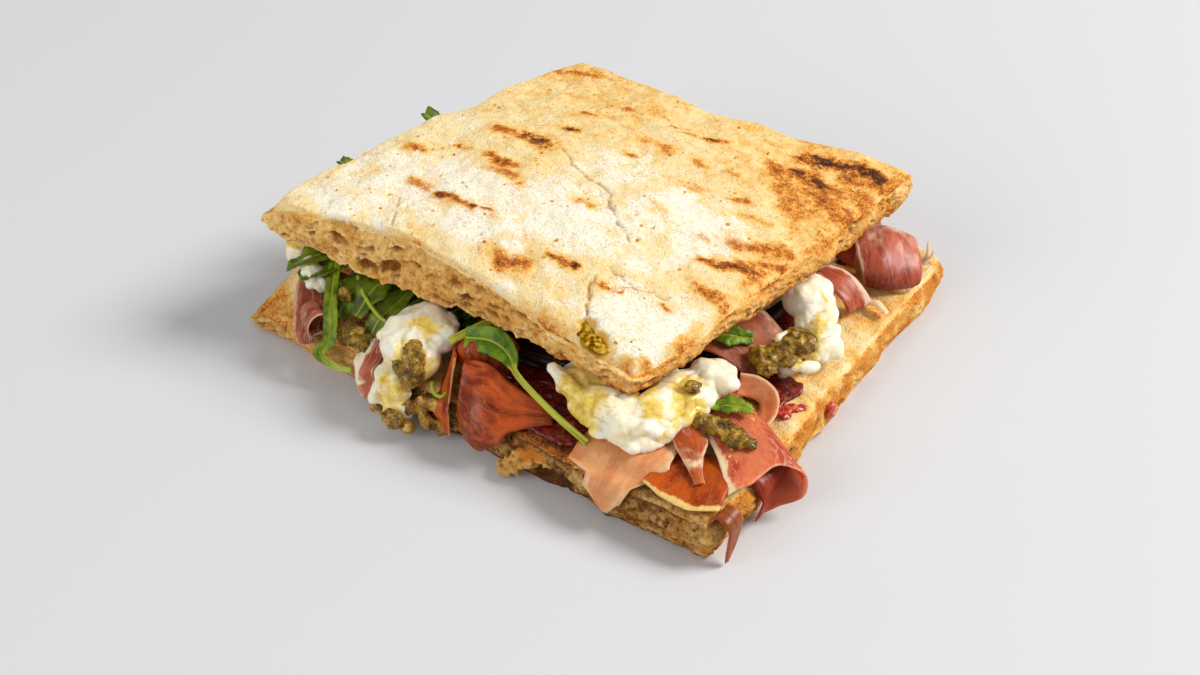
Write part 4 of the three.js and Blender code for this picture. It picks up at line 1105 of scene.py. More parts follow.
def leaf_width(s, blade, stalk, blade_share, lobes, blunt):
    """Width along a leaf: a blade with lobes over the first share of it, then the stalk."""
    q = np.clip(s / blade_share, 0, 1)
    outline = np.sin(np.pi * mix(blunt, 1, q)) ** 0.8
    notch = 1 - 0.3 * (0.5 - 0.5 * np.cos(2 * np.pi * lobes * q))
    return np.maximum(stalk, blade * outline * notch)


def leaf_sheet(
    path, facing=(0.4, -0.6, 0.7), blade=8.0, stalk=1.8, blade_share=0.6, lobes=2, blunt=0.12,
    cup=0.5, wave=0.5, seed=0, teeth=0.12, shade=0.0, cells=(120, 17),
):
    """Middle points of a leaf, its tip at s = 0, with the marks its material reads."""
    s, t = np.linspace(0, 1, cells[0]), np.linspace(0, 1, cells[1])
    spine = catmull(path, s)
    face = unit(np.array(facing, float))
    side = unit(np.cross(unit(np.gradient(spine, axis=0)), face))
    width = leaf_width(s, blade, stalk, blade_share, lobes, blunt)
    bladed = smooth((width - stalk * 1.2) / 2)
    saw = 1 - teeth * bladed * (0.5 + 0.5 * np.sin(s * 60 + seed) * np.cos(s * 23 + seed))
    across = (width * saw)[:, None] * (t - 0.5)[None, :]
    down, over = s[:, None], t[None, :]
    puckers = 0.25 * noise(down * 14, over * 5, seed + 5) - 0.35 * bell((t - 0.5) / 0.06)
    bend = cup * np.abs(across) * 0.5 + wave * noise(down * 5, over * 2, seed) + bladed[:, None] * puckers
    points = spine[:, None, :] + side[:, None, :] * across[..., None] + face * bend[..., None]
    run = np.cumsum(np.linalg.norm(np.gradient(spine, axis=0), axis=1))
    vein = run[:, None] / 10, (t - 0.5)[None, :] * width[:, None] / 10, float(seed)
    marks = dict(
        vein=np.stack(np.broadcast_arrays(*vein), -1),
        stalk=np.repeat((1 - bladed)[:, None], len(t), 1),
        shade=np.full(across.shape, shade),
    )
    return points, marks


LEAVES = {
    "arugula_leaf_front": dict(
        path=[
            (-8.4, -65, 30.6), (0, -62, 31), (5.8, -62, 28.6), (10.8, -64.4, 25.2),
            (26, -68, 21), (42.6, -71.6, 19),
        ],
        facing=(0.42, -0.6, 0.68), blade=9, blade_share=0.6, blunt=0.25, lobes=0, teeth=0.05,
        stalk=2.0, cup=0.15, seed=1, cells=(170, 17),
    ),
    "arugula_leaf_near": dict(
        path=[(78, -36, 23.6), (73, -37, 24), (67, -40, 23.6), (59, -42, 23.4)],
        facing=(0.1, -0.1, 1), blade=8, blade_share=0.9, seed=2, teeth=0.3,
    ),
    "arugula_leaf_right": dict(
        path=[(60.5, -7, 24.2), (56, -11, 25.8), (51, -15, 26.8), (44, -19, 27)],
        facing=(0.5, -0.3, 0.8), blade=8, blade_share=0.9, seed=3,
    ),
    "arugula_stalk": dict(
        path=[(-13, -67, 28.2), (-9, -60, 30.2), (-6, -52, 30.5)],
        blade=2.6, stalk=2.6, cup=0, wave=0, cells=(50, 9),
    ),
    "arugula_hanging": dict(
        path=[
            (-68, -58.6, 30), (-63, -66, 26.4), (-58.4, -72.4, 24), (-55.2, -76.2, 20.6),
            (-53.8, -79.4, 16.6), (-56.4, -81.6, 12.6), (-52.4, -81.6, 10), (-47.6, -80.8, 9.4),
            (-44.4, -80, 9.6),
        ],
        facing=(0.35, -0.85, 0.4), blade=5.4, blade_share=0.98, blunt=0.3, lobes=0,
        seed=6, wave=0.3, cells=(180, 17),
    ),
}

DARK_LEAVES = {"arugula_leaf_near", "arugula_hanging"}


def leaf_piece(name, **shape):
    middle, marks = leaf_sheet(**shape)
    points, faces, doubled = closed_sheet(clear_of_lower(middle, LEAF_HALF), LEAF_THICKNESS, marks, taper=0.8)
    return make_object(name + "_green", points, faces, doubled)


# Leaves of the salad that show, from the part's source: tip, middle and inner end.
SALAD_LEAVES = [
    [(-83, -66, 26), (-76, -61, 29.5), (-60, -40, 30)],
    [(-76, -68, 25), (-71, -62, 28.5), (-56, -38, 29.5)],
    [(-57, -71, 19), (-56, -64, 26), (-50, -38, 29.5)],
    [(-50, -70, 23), (-49, -62, 28.5), (-46, -38, 30)],
    [(-43, -71, 19), (-42, -65, 24), (-40, -38, 29)],
    [(-88, 2, 26), (-80, 2, 29.5), (-60, 2, 30)],
    [(-98.5, -22, 38), (-90, -19.5, 31.8), (-78, -17, 30.5), (-60, -16, 31)],
    [(-94, 18, 38.5), (-85, 19.5, 32), (-74, 20.5, 30.8), (-54, 22, 31)],
    [(-32, 76, 27), (-31, 66, 31), (-28, 44, 32)],
    [(0, 76, 27), (-2, 66, 31.5), (-8, 44, 32)],
]


def bed_top(x, y):
    return 21 + 1.5 * noise(x / 14, y / 14, 4)


def layer_points(centre, half, u, v, seed):
    """Plan position in a layer whose outline leans like the upper bread's."""
    ru, rv = u * np.sqrt(1 - 0.15 * v * v), v * np.sqrt(1 - 0.15 * u * u)
    ragged = 1 + 0.06 * noise(u * 4, v * 4, seed)
    y = centre[1] + half[1] * rv * ragged
    return centre[0] + half[0] * ru * ragged + SKEW * y, y


def layer_mesh(centre, half, low, high, seed, cols, rows, levels, side_bumps, top_bumps):
    """A closed layer between two height functions, with bumps on its sides and top."""
    u, v = np.meshgrid(np.linspace(-1, 1, cols + 1), np.linspace(-1, 1, rows + 1))
    x, y = layer_points(centre, half, u.ravel(), v.ravel(), seed)
    top = np.stack([x, y, high(x, y) + top_bumps(x, y)], 1)
    bottom = np.stack([x, y, low(x, y)], 1)
    loop = grid_rim(rows + 1, cols + 1)
    run = np.roll(top[loop], -1, 0) - np.roll(top[loop], 1, 0)
    out = unit(np.stack([run[:, 1], -run[:, 0], 0 * run[:, 0]], 1))
    rings = [mix(top[loop], bottom[loop], k / levels) for k in range(1, levels)]
    rings = [ring + out * side_bumps(ring)[:, None] for ring in rings]
    count, size, grid = len(loop), len(top), grid_faces(rows + 1, cols + 1)
    last = size + (levels - 1) * count
    order = [loop, *(size + k * count + np.arange(count) for k in range(levels - 1)), loop + last]
    faces = [grid, grid[:, ::-1] + last, *(band(a, b) for a, b in zip(order, order[1:]))]
    return np.concatenate([top, *rings, bottom]), faces


# The salad heap's core: middle and half sizes in plan.
HEAP = ((-36, 6), (35, 50))
# Columns, rows and levels of each layer.
HEAP_CELLS, BED_CELLS, HEART_CELLS = (44, 60, 8), (84, 76, 10), (40, 60, 12)
LOOSE_LEAVES, LEFT_LEAVES, BACK_LEAVES = 46, 34, 18
# The ellipse that the loose leaves' tips lie round: middle and half sizes in plan.
RING_MIDDLE, RING_HALF = (-30, 4), (44, 60)
# The upper bread covers leaves within this y and right of this x at y = 0; they lie above this height.
COVERED_Y, COVERED_X, SALAD_LOWEST = 68, -78, 18.5


def above_bed(x, y):
    return bed_top(x, y) + 0.6


def below_upper(x, y):
    return upper_base(x, y) - 1.4


def drawn_leaf(chance, path, facing, wide, cup, shade, **shape):
    """A leaf of the salad, its width, cup, seed and shade drawn in this order."""
    return dict(
        path=path, facing=facing, blade=chance.uniform(*wide), cup=chance.uniform(*cup),
        seed=int(chance.integers(99)), shade=chance.uniform(0, shade), blade_share=1, **shape,
    )


def loose_leaf(chance):
    """A leaf that lies in the heap, its tip outwards."""
    angle = chance.uniform(0.36 * math.pi, 1.72 * math.pi)
    reach = chance.uniform(0.95, 1.18)
    (x, y), (half_x, half_y) = RING_MIDDLE, RING_HALF
    tip = np.array([x + half_x * math.cos(angle) * reach, y + half_y * math.sin(angle) * reach])
    tip[0] += SKEW * tip[1]
    inward = unit(np.array([x + SKEW * y, y]) - tip)
    height = chance.uniform(23, 30)
    end = tip + inward * chance.uniform(20, 28)
    middle = (tip + end) / 2 + chance.uniform(-3, 3, 2)
    heights = height - chance.uniform(0, 3), height + chance.uniform(0, 2.5), height
    path = [(*spot, z) for spot, z in zip((tip, middle, end), heights)]
    facing = unit(np.array([chance.uniform(-0.5, 0.5), chance.uniform(-0.5, 0.5), 1]))
    return drawn_leaf(chance, path, facing, (7, 12), (-0.5, 0.8), 0.8, wave=1.2, teeth=0.2)


def pressed_leaf(chance, u, v, out):
    """A leaf pressed against the heap's left or back side at u and v."""
    x, y = layer_points(*HEAP, u, v, 5)
    out = unit(np.array([*out, 0.0]))
    along = np.array([-out[1], out[0], 0.0])
    height = mix(bed_top(x, y), upper_base(x, y) - 1.5, chance.uniform(0.15, 0.85))
    tilt, half = chance.uniform(-1.1, 1.1), chance.uniform(6, 11)
    reach = along * math.cos(tilt) * half + np.array([0, 0, 0.7 * math.sin(tilt) * half])
    spot = np.array([x, y, height]) + out * chance.uniform(0.8, 2.6)
    path = [spot + reach + out * chance.uniform(-0.5, 2), spot + out, spot - reach - out * 0.8]
    facing = (*(out[:2] + chance.uniform(-0.3, 0.3, 2)), chance.uniform(0.1, 0.8))
    return drawn_leaf(chance, path, facing, (6, 11), (-0.4, 0.6), 0.6, wave=1, teeth=0.22)


def salad_piece():
    """The heap under the upper bread's left half: a lumpy core with many leaves on it."""
    core, faces = layer_mesh(
        *HEAP, above_bed, below_upper, 5, *HEAP_CELLS,
        lambda p: waves(p, (1.6, 4, 51), (0.8, 1.8, 52)) - 0.6, lambda x, y: 0.5 * noise(x / 3, y / 3, 53),
    )
    zero = np.zeros(len(core))
    vein = np.stack([core[:, 0] / 10, core[:, 1] / 10, zero], 1)
    parts = [(core, faces, dict(vein=vein, stalk=zero, shade=zero + 1))]
    chance = np.random.default_rng(12)
    shapes = [
        dict(path=path, blade=13, blade_share=1, facing=(0.1, 0, 1), wave=1, seed=i, teeth=0.2, shade=0.3)
        for i, path in enumerate(SALAD_LEAVES)
    ]
    shapes += [loose_leaf(chance) for _ in range(LOOSE_LEAVES)]
    shapes += [pressed_leaf(chance, -1, v, (-1, SKEW)) for v in np.linspace(-1, 1, LEFT_LEAVES)]
    shapes += [pressed_leaf(chance, u, 1, (0, 1)) for u in np.linspace(-1, 1, BACK_LEAVES)]
    for shape in shapes:
        middle, marks = leaf_sheet(cells=(34, 7), **shape)
        x, y, z = np.moveaxis(middle, -1, 0)
        under = (np.abs(y) < COVERED_Y) & (x - SKEW * y > COVERED_X)
        middle[..., 2] = np.where(under, np.clip(z, SALAD_LOWEST, upper_base(x, y) - 0.9), z)
        parts.append(closed_sheet(clear_of_lower(middle, LEAF_HALF), SALAD_THICKNESS, marks))
    return make_object("arugula_heap", *joined(parts))


# Layers inside


def bed_piece():
    points, faces = layer_mesh(
        (-6, 2), (60, 52), lambda x, y: lower_top(x, y) + 2.2, bed_top, 6, *BED_CELLS,
        lambda p: 0.9 * noise(p[:, 0] / 14, p[:, 1] / 14, p[:, 2] * 1.1) + 0.5 * noise_at(p, 3, 61) - 0.4,
        lambda x, y: 0.3 * noise(x / 4, y / 4, 62),
    )
    streaks = noise(points[:, 0] / 12, points[:, 1] / 12, points[:, 2] * 1.4)
    return make_object("ham_layers", points, faces, dict(fat=smooth(streaks * 2 - 0.5), sheet=points / 10))


def heart_piece():
    points, faces = layer_mesh(
        (27.5, 3), (25, 47), above_bed, below_upper, 8, *HEART_CELLS,
        lambda p: waves(p, (2, 8, 71), (1.1, 3.6, 72), (0.5, 1.8, 75)) - 1,
        lambda x, y: 0.4 * noise(x / 5, y / 5, 73),
    )
    oil = smooth(noise_at(points, 7, 74) * 1.5)
    crease = np.exp(-np.abs(noise_at(points, 7, 76)) / 0.06)
    return make_object("cheese_middle", points, faces, dict(oil=oil, crease=crease))


# Patches of tomato on the lower bread: middle and half sizes in plan, columns, rows and levels.
TOMATO_PATCHES = [
    ((-3, 0), (64, 56), (60, 60, 3)), ((31, -60), (21, 13), (60, 40, 3)), ((70, -15), (13, 8), (40, 30, 3)),
]


def tomato_piece():
    parts = [
        (*layer_mesh(
            centre, half, lambda x, y: lower_top(x, y) + 0.5, lambda x, y: lower_top(x, y) + 1.7, i, *cells,
            lambda p: waves(p, (0.9, 2.2, 81), (0.4, 0.9, 82)),
            lambda x, y: ripples(x, y, (0.5, 2.1, 2.1, 83), (0.25, 0.9, 0.9, 84)),
        ), {})
        for i, (centre, half, cells) in enumerate(TOMATO_PATCHES)
    ]
    return make_object("tomato_sauce", *joined(parts))


# Small pieces that only the looks need


def top_of_upper(x, y):
    """Height of the upper bread's smooth top at a plan position, found from its nearest points."""
    u, v = (g.ravel() for g in np.meshgrid(np.linspace(-1, 1, 90), np.linspace(-1, 1, 90)))
    points = slab_point(UPPER, u, v, 1.0)
    return float(points[np.argmin((points[:, 0] - x) ** 2 + (points[:, 1] - y) ** 2), 2])


# The pesto in the torn place: places in plan and sizes.
TEAR_SPOTS = [
    (27.4, -50.6, 1.2), (29.2, -52.4, 1.8), (31.4, -54, 2.2), (34, -55.2, 2.3), (36.6, -55.8, 1.7),
    (31.6, -56, 1.7), (33.8, -53, 1.4), (28.6, -54.6, 1.2),
]


def tear_pesto():
    """Pesto that wells up in the torn place of the upper bread's top."""
    lumps = [(x, y, top_of_upper(x, y) - 2.2, 1.2 * r, 1.1 * r, r * 0.4) for x, y, r in TEAR_SPOTS]
    lumps = studded(lumps, 60, 0.75, 5, 1.0)
    return paste("tear_paste", lumps, 0.26, 0, 0.3, 4, [(0.3, 0.7, 3)], (0.9, 1.1, 2))


def tube(name, path, radius, tip_radius, marks):
    """A round stem or thread along a smooth path, closed at both ends."""
    sides, rings = 10, 60
    s = np.linspace(0, 1, rings)
    spine = catmull(path, s)
    tangent = unit(np.gradient(spine, axis=0))
    side = unit(np.cross(tangent, [0.13, 0.21, 0.97]))
    up = np.cross(side, tangent)
    angle = np.linspace(0, 2 * np.pi, sides, endpoint=False)
    r = (radius + (tip_radius - radius) * s) * (1 + 0.1 * noise(s * 9, radius))
    ring = np.cos(angle)[None, :, None] * side[:, None] + np.sin(angle)[None, :, None] * up[:, None]
    points = (spine[:, None] + r[:, None, None] * ring).reshape(-1, 3)
    ends = np.stack([spine[0] - tangent[0] * radius * 0.6, spine[-1] + tangent[-1] * tip_radius * 0.6])
    loops = np.arange(sides * rings).reshape(rings, sides)
    quads = np.concatenate([band(a, b)[:, [0, 3, 2, 1]] for a, b in zip(loops, loops[1:])])
    caps = [
        np.stack([np.roll(loops[0], -1), loops[0], np.full(sides, len(points))], 1),
        np.stack([loops[-1], np.roll(loops[-1], -1), np.full(sides, len(points) + 1)], 1),
    ]
    points = np.concatenate([points, ends])
    marks = {key: np.full((len(points), *np.shape(value)), value, float) for key, value in marks.items()}
    return make_object(name, points, [quads, *caps], marks)


STEM_MARKS = dict(vein=(0.0, 1.0, 0.0), stalk=0.7, shade=0.0)
FAT_MARKS = dict(fat=1.0, painted_shade=0.0, sheet=(0.3, 0.3, 1.0))

# Stems and threads: path, radius and tip radius.
STEMS = {
    "arugula_curl": (
        [
            (-13.5, -76, 17.4), (-12, -77.6, 16.4), (-10, -78.4, 15.6), (-8, -77.9, 15.8),
            (-7.4, -76.6, 16.8),
        ],
        0.75, 0.5,
    ),
    "arugula_salad_stem": ([(-57, -60, 29.5), (-50, -65, 28), (-42, -67.5, 25), (-37, -67, 23)], 0.7, 0.55),
}
FAT_THREADS = {
    "ham_roll_fray": (
        [(80, 61, 16.5), (82.4, 64.5, 17.5), (83.4, 67.6, 20.5), (82.6, 69.2, 25.4)], 1.3, 0.35,
    ),
    "ham_roll_fray_small": ([(82.6, 65, 18), (84.6, 67.4, 20.4), (85.4, 68.4, 23.6)], 0.8, 0.3),
    "ham_roll_fray_low": ([(81, 60, 16.3), (84.6, 63.2, 16.4), (85.6, 67.6, 17.8)], 0.9, 0.4),
}

# Tomato that shows on and beside the lower bread's right edge.
TOMATO_BITS = [
    (78.7, -22.6, 14.4, 2.6, 2, 0.9), (81.6, -22.2, 14.4, 2.2, 2, 0.9), (82.6, -18, 14.3, 2.6, 1.8, 0.8),
    (80.6, -19.8, 14.4, 2.4, 2.2, 0.8), (84.4, -16, 14, 1.6, 1.2, 0.7), (88.9, -5.4, 8.6, 1.3, 1.7, 2.3),
    (89.2, -6.4, 6.6, 1.1, 1.3, 1.6),
]


def tomato_bits():
    return paste("tomato_bits", studded(TOMATO_BITS, 30, 0.9, 3, 1.0), 0.3, 1, 0.3, 2, [(0.25, 0.9, 5)])


# Bits of bread at the foot of the front cheese.
SOAKED = [
    (-27.5, -86.5, 7.4, 2.6, 2.2, 2.2), (-23.5, -86, 4.6, 2.8, 2.4, 2.2), (-16, -86, 5.2, 3.2, 2.6, 2.4),
    (-12, -81.5, 6, 3.4, 2.4, 3), (-7, -80.5, 5, 3, 2.2, 3), (-14.5, -80, 10.5, 3, 2.6, 3),
    (-10.5, -79.5, 12.5, 2.6, 2, 2.2), (-18, -82.5, 9, 2.6, 2.6, 3),
]


def soaked_crumbs():
    """Torn bits of bread, wet with pesto and oil, at the foot of the front cheese."""
    lumps = studded(SOAKED, 8, 1.1, 8, 0.85)
    return paste("soaked_crumbs", lumps, 0.45, 3, 0.3, 9, [(0.4, 2, 3), (0.2, 1, 4)], (0.8, 3, 4))


def crumbs(name, pieces, seed):
    """Toasted crumbs on pieces: each with a count and how many of its first points may carry one."""
    chance = np.random.default_rng(seed)
    sphere, triangles = BALLS[2]
    parts = []
    for piece, count, limit in pieces:
        places = read(piece.data.vertices, "co")[:limit] / MM
        for spot in places[chance.integers(0, len(places), count)]:
            size = chance.uniform(0.22, 0.6) * chance.uniform(0.6, 1.2, 3)
            points = sphere * size * (1 + 0.5 * noise(sphere * 2 + spot, seed, 1)[:, :1]) + spot
            toast = np.full(len(sphere), chance.uniform(0.05, 0.45))
            parts.append((points, [triangles], bread_marks(toast, crumb=1 + 0 * toast)))
    return make_object(name, *joined(parts))


# Materials


def srgb(r, g, b):
    """A colour given as 0 to 255, as linear values and full opacity."""
    shares = [c / 255 for c in (r, g, b)]
    return *(c / 12.92 if c < 10 / 255 else ((c + 0.055) / 1.055) ** 2.4 for c in shares), 1.0


class Field:
    """What a node gives out, which can be added, subtracted and multiplied like a number."""

    def __init__(self, shader, socket):
        self.shader, self.socket = shader, socket

    def __add__(self, other):
        return self.shader.math("ADD", self, other)

    def __sub__(self, other):
        return self.shader.math("SUBTRACT", self, other)

    def __mul__(self, other):
        return self.shader.math("MULTIPLY", self, other)

    def __abs__(self):
        return self.shader.math("ABSOLUTE", self, 0.0)

    def around(self, amount):
        """Noise that lies round 0.5, made to lie round 0 and scaled."""
        return (self - 0.5) * amount


class Shader:
    """Small helper that builds a material's nodes. Plain colours are red, green and blue from 0 to 255."""

    def __init__(self, name):
        self.material = bpy.data.materials.new(name)
        self.material.use_nodes = True
        self.tree = self.material.node_tree
        self.tree.nodes.clear()
        self.skin = self.add("ShaderNodeBsdfPrincipled")
        output = self.add("ShaderNodeOutputMaterial")
        self.tree.links.new(self.skin.outputs[0], output.inputs[0])
        self.place = self.out(self.add("ShaderNodeTexCoord"), "Object")

    def add(self, kind, **settings):
        node = self.tree.nodes.new(kind)
        for key, value in settings.items():
            setattr(node, key, value)
        return node

    def out(self, node, output=0):
        return Field(self, node.outputs[output])

    def feed(self, node, **values):
        """Links or sets inputs by name; i0 is the first of those that share a name."""
        for key, value in values.items():
            socket = node.inputs[int(key[1:])] if key[1:].isdigit() else node.inputs[key.replace("_", " ")]
            if isinstance(value, Field):
                self.tree.links.new(value.socket, socket)
            else:
                socket.default_value = value

    def surface(self, colour, roughness, normal, scatter, specular=0.5, coat=(0.0, 0.03)):
        """Sets the finish: scatter is weight, radius and scale, and coat is weight and roughness."""
        self.feed(
            self.skin, Base_Color=colour, Roughness=roughness, Normal=normal, Subsurface_Weight=scatter[0],
            Subsurface_Radius=scatter[1], Subsurface_Scale=scatter[2], Specular_IOR_Level=specular,
            Coat_Weight=coat[0], Coat_Roughness=coat[1],
        )
        return self.material

    def marks(self, *names):
        return [self.out(self.add("ShaderNodeAttribute", attribute_name=name), "Fac") for name in names]

    def vector_mark(self, name):
        return self.out(self.add("ShaderNodeAttribute", attribute_name=name), "Vector")

    def stretch(self, vector, *scale):
        node = self.add("ShaderNodeMapping")
        self.feed(node, Vector=vector, Scale=scale)
        return self.out(node)

    def noise(self, per_metre, detail=3.0, rough=0.55, vector=None, distortion=0.0):
        node = self.add("ShaderNodeTexNoise")
        self.feed(node, Vector=vector or self.place, Scale=per_metre)
        self.feed(node, Detail=detail, Roughness=rough, Distortion=distortion)
        return self.out(node)

    def pits(self, per_metre, radius):
        """Round pits of uneven size, one in a cell: 1 in their middles and 0 between them."""
        wander = self.add("ShaderNodeTexNoise")
        self.feed(wander, Vector=self.place, Scale=per_metre * 1.3)
        shaken = self.add("ShaderNodeVectorMath", operation="MULTIPLY_ADD")
        self.feed(shaken, i0=self.out(wander, "Color"), i1=(0.7 / per_metre,) * 3, i2=self.place)
        cells = self.add("ShaderNodeTexVoronoi")
        self.feed(cells, Vector=self.out(shaken), Scale=per_metre)
        size = self.add("ShaderNodeSeparateColor")
        self.feed(size, i0=self.out(cells, "Color"))
        reach = self.out(size) * radius
        return self.spread(self.out(cells, "Distance"), reach * 0.4, reach, 1.0, 0.0)

    def math(self, operation, a, b):
        node = self.add("ShaderNodeMath", operation=operation)
        self.feed(node, i0=a, i1=b)
        return self.out(node)

    def spread(self, value, low, high, to_low=0.0, to_high=1.0):
        """A smooth step from to_low to to_high as the value goes from low to high."""
        node = self.add("ShaderNodeMapRange", interpolation_type="SMOOTHSTEP")
        self.feed(node, i0=value, i1=low, i2=high, i3=to_low, i4=to_high)
        return self.out(node)

    def ramp(self, value, stops):
        node = self.add("ShaderNodeValToRGB")
        self.feed(node, i0=value)
        elements = node.color_ramp.elements
        while len(elements) < len(stops):
            elements.new(0.5)
        for element, (position, colour) in zip(elements, stops.items()):
            element.position, element.color = position, srgb(*colour)
        return self.out(node)

    def blend(self, share, a, b, kind="MIX"):
        node = self.add("ShaderNodeMix", data_type="RGBA", blend_type=kind, clamp_factor=True)
        a, b = (srgb(*c) if isinstance(c, tuple) and len(c) == 3 else c for c in (a, b))
        self.feed(node, i0=share, i6=a, i7=b)
        return self.out(node, 2)

    def bump(self, height, distance, strength):
        node = self.add("ShaderNodeBump")
        self.feed(node, Strength=strength, Distance=distance, Height=height)
        return self.out(node)


def bread_material():
    m = Shader("bread_look")
    toast, char, flour, crumb, pore, oil = m.marks(*BREAD_MARKS)
    fine, grain, broad = m.noise(1300, 3, 0.6), m.noise(480, 4, 0.6), m.noise(130, 3)
    browned = toast + grain.around(0.32) + broad.around(0.12)
    stipple = m.spread(fine, 0.46, 0.6) * m.spread(toast, 0.2, 0.5)
    browned = browned + stipple * 0.21
    crust = m.ramp(browned, {
        0.0: (252, 232, 184), 0.2: (248, 217, 152), 0.38: (243, 190, 104), 0.52: (226, 148, 60),
        0.66: (190, 108, 42), 0.84: (134, 74, 32), 1.0: (84, 48, 26),
    })
    burnt = m.spread(char + (grain.around(1.3) + fine.around(1.2)), 0.35, 0.95)
    crust = m.blend(burnt * 0.85, crust, (64, 40, 28))
    dust = m.spread(flour + (fine.around(1.4) + grain.around(1.2)), 0.22, 0.8)
    crust = m.blend(dust * 0.9, crust, (255, 248, 230))
    dots = m.spread(m.noise(1100, 3, 0.7) + grain.around(0.4), 0.54, 0.68)
    crust = m.blend(dots * 0.5, crust, (196, 144, 84), "MULTIPLY")
    # Painted shade in recesses: cracks and holes on the tops are darkened; in the cracks the brown is also
    # the crust's own colour.
    crust = m.blend(pore * 0.8, crust, (176, 112, 48))

    inside = m.ramp(grain * 0.6 + broad * 0.5, {
        0.38: (214, 150, 68), 0.54: (232, 178, 96), 0.68: (250, 214, 144),
    })
    inside = m.blend(m.spread(browned, 0.24, 0.56), inside, (206, 128, 44))
    # The mark read here as charring is, on the cut sides, painted shade with oil stains: it darkens the
    # crumb, and its pores more.
    inside = m.blend(char * m.spread(grain, 0.35, 0.6, 1.0, 0.55), inside, (118, 72, 28))
    inside = m.blend(m.pits(560, 0.55) * char, inside, (80, 44, 16))
    # Small pores, and the pores of the cut sides, are darkened as painted shade in their hollows.
    pits = m.math("MAXIMUM", m.pits(400, 0.4), m.pits(850, 0.42))
    inside = m.blend(pits * 0.35, inside, (186, 116, 42))
    inside = m.blend(m.spread(pore, 0.0, 0.9, 0.0, 0.9), inside, (144, 82, 24))
    crumb_share = m.spread(crumb + grain.around(0.6), 0.3, 0.7)
    oily = m.spread(oil + grain.around(0.9), 0.35, 0.85)
    colour = m.blend(oily * 0.85, m.blend(crumb_share, crust, inside), (226, 172, 44))
    height = grain * 0.8 + fine * 0.8 - pits * crumb_share * 0.5
    return m.surface(
        colour, m.spread(oily, 0, 1, 0.82, 0.5), m.bump(height, 0.0007, 0.95),
        (0.12, (0.8, 0.4, 0.18), 0.002), 0.12,
    )


# Lean meat, deeper meat, fat, and how strongly the lean is marbled.
HAM_TONES = {
    "red": ((222, 124, 82), (172, 48, 24), (250, 214, 176), 0.34),
    "gold": ((196, 88, 18), (132, 38, 2), (250, 214, 132), 0.1),
    "pale": ((230, 166, 112), (208, 128, 78), (248, 216, 176), 0.12),
    "mauve": ((180, 104, 72), (124, 56, 34), (236, 200, 172), 0.4),
    "rind": ((206, 118, 84), (160, 74, 48), (252, 234, 204), 0.5),
    "roll": ((196, 104, 74), (128, 26, 8), (238, 200, 176), 0.28),
    "orange": ((196, 98, 46), (150, 54, 18), (250, 220, 178), 0.15),
    "peach": ((232, 154, 104), (202, 102, 56), (250, 218, 180), 0.12),
    "dark": ((202, 92, 36), (112, 26, 3), (238, 174, 112), 0.2),
    "bark": ((158, 78, 26), (92, 34, 6), (206, 142, 74), 0.2),
    # The bed's tones are near black: painted shade of the hollow between the fillings.
    "bed": ((52, 8, 4), (20, 3, 2), (80, 32, 22), 0.15),
}


def ham_material(tone):
    meat, deep, fat, marbling = HAM_TONES[tone]
    m = Shader("ham_" + tone)
    along = m.vector_mark("sheet")
    fat_edge, painted_shade = m.marks("fat", "painted_shade")
    streaks = m.noise(1.3, 1, 0.5, m.stretch(along, 0.6, 2.4, 1), 1.1)
    lines = m.spread(abs(streaks - 0.5), 0.0, 0.045, 1.0, 0.0)
    patches = m.spread(m.noise(0.9, 4, 0.62, m.stretch(along, 0.7, 1.8, 1), 0.5), 0.36, 0.64)
    fibres = m.noise(6, 4, 0.6, m.stretch(along, 0.6, 1.7, 1))
    mottle = m.noise(330, 5, 0.65)
    colour = m.blend(patches * 0.8 + (mottle - 0.4) * 0.8 + fibres.around(0.7), meat, deep)
    colour = m.blend(m.spread(mottle, 0.56, 0.72) * 0.16, colour, fat)
    colour = m.blend(lines * patches * marbling, colour, fat)
    edge = m.spread(fat_edge + fibres.around(0.7), 0.15, 0.95)
    colour = m.blend(edge * 0.9, colour, fat)
    # Painted shade: the colour darkens towards the deep tone where a slice curls under or turns away into
    # shade.
    painted_shade_tone = tuple(0.45 * c for c in srgb(*deep)[:3]) + (1,)
    colour = m.blend(painted_shade * 0.75, colour, painted_shade_tone)
    return m.surface(
        colour, m.spread(mottle, 0.3, 0.7, 0.28, 0.46), m.bump(fibres * 0.4 + mottle, 0.00022, 0.6),
        (0.45, (1.0, 0.32, 0.14), 0.003), 0.15, (0.2, 0.26),
    )


def cheese_material():
    m = Shader("cheese_look")
    oil, crease = m.marks("oil", "crease")
    mottle, grain = m.noise(160, 4, 0.6), m.noise(420, 4, 0.65)
    colour = m.blend(m.spread(mottle, 0.35, 0.65), (252, 247, 230), (240, 228, 192))
    stain = oil + mottle.around(1.4) + grain.around(0.8)
    stained = m.spread(stain + crease * 0.25, 0.3, 1.0)
    colour = m.blend(stained * 0.8, colour, (242, 206, 48))
    colour = m.blend(m.spread(stain, 0.85, 1.4) * 0.85, colour, (192, 148, 24))
    colour = m.blend(crease * m.spread(oil, 0.0, 0.6, 0.15, 0.6), colour, (176, 150, 60))
    flecks = m.spread(m.noise(800, 2, 0.5), 0.62, 0.7) * m.spread(oil, 0.15, 0.6)
    colour = m.blend(flecks * 0.4, colour, (150, 118, 24))
    height = m.noise(330, 4, 0.55) + grain * 0.4
    return m.surface(
        colour, m.spread(stained, 0, 1, 0.45, 0.2), m.bump(height, 0.0005, 0.5),
        (0.45, (1.0, 0.85, 0.55), 0.0025), 0.2, (0.25, 0.15),
    )


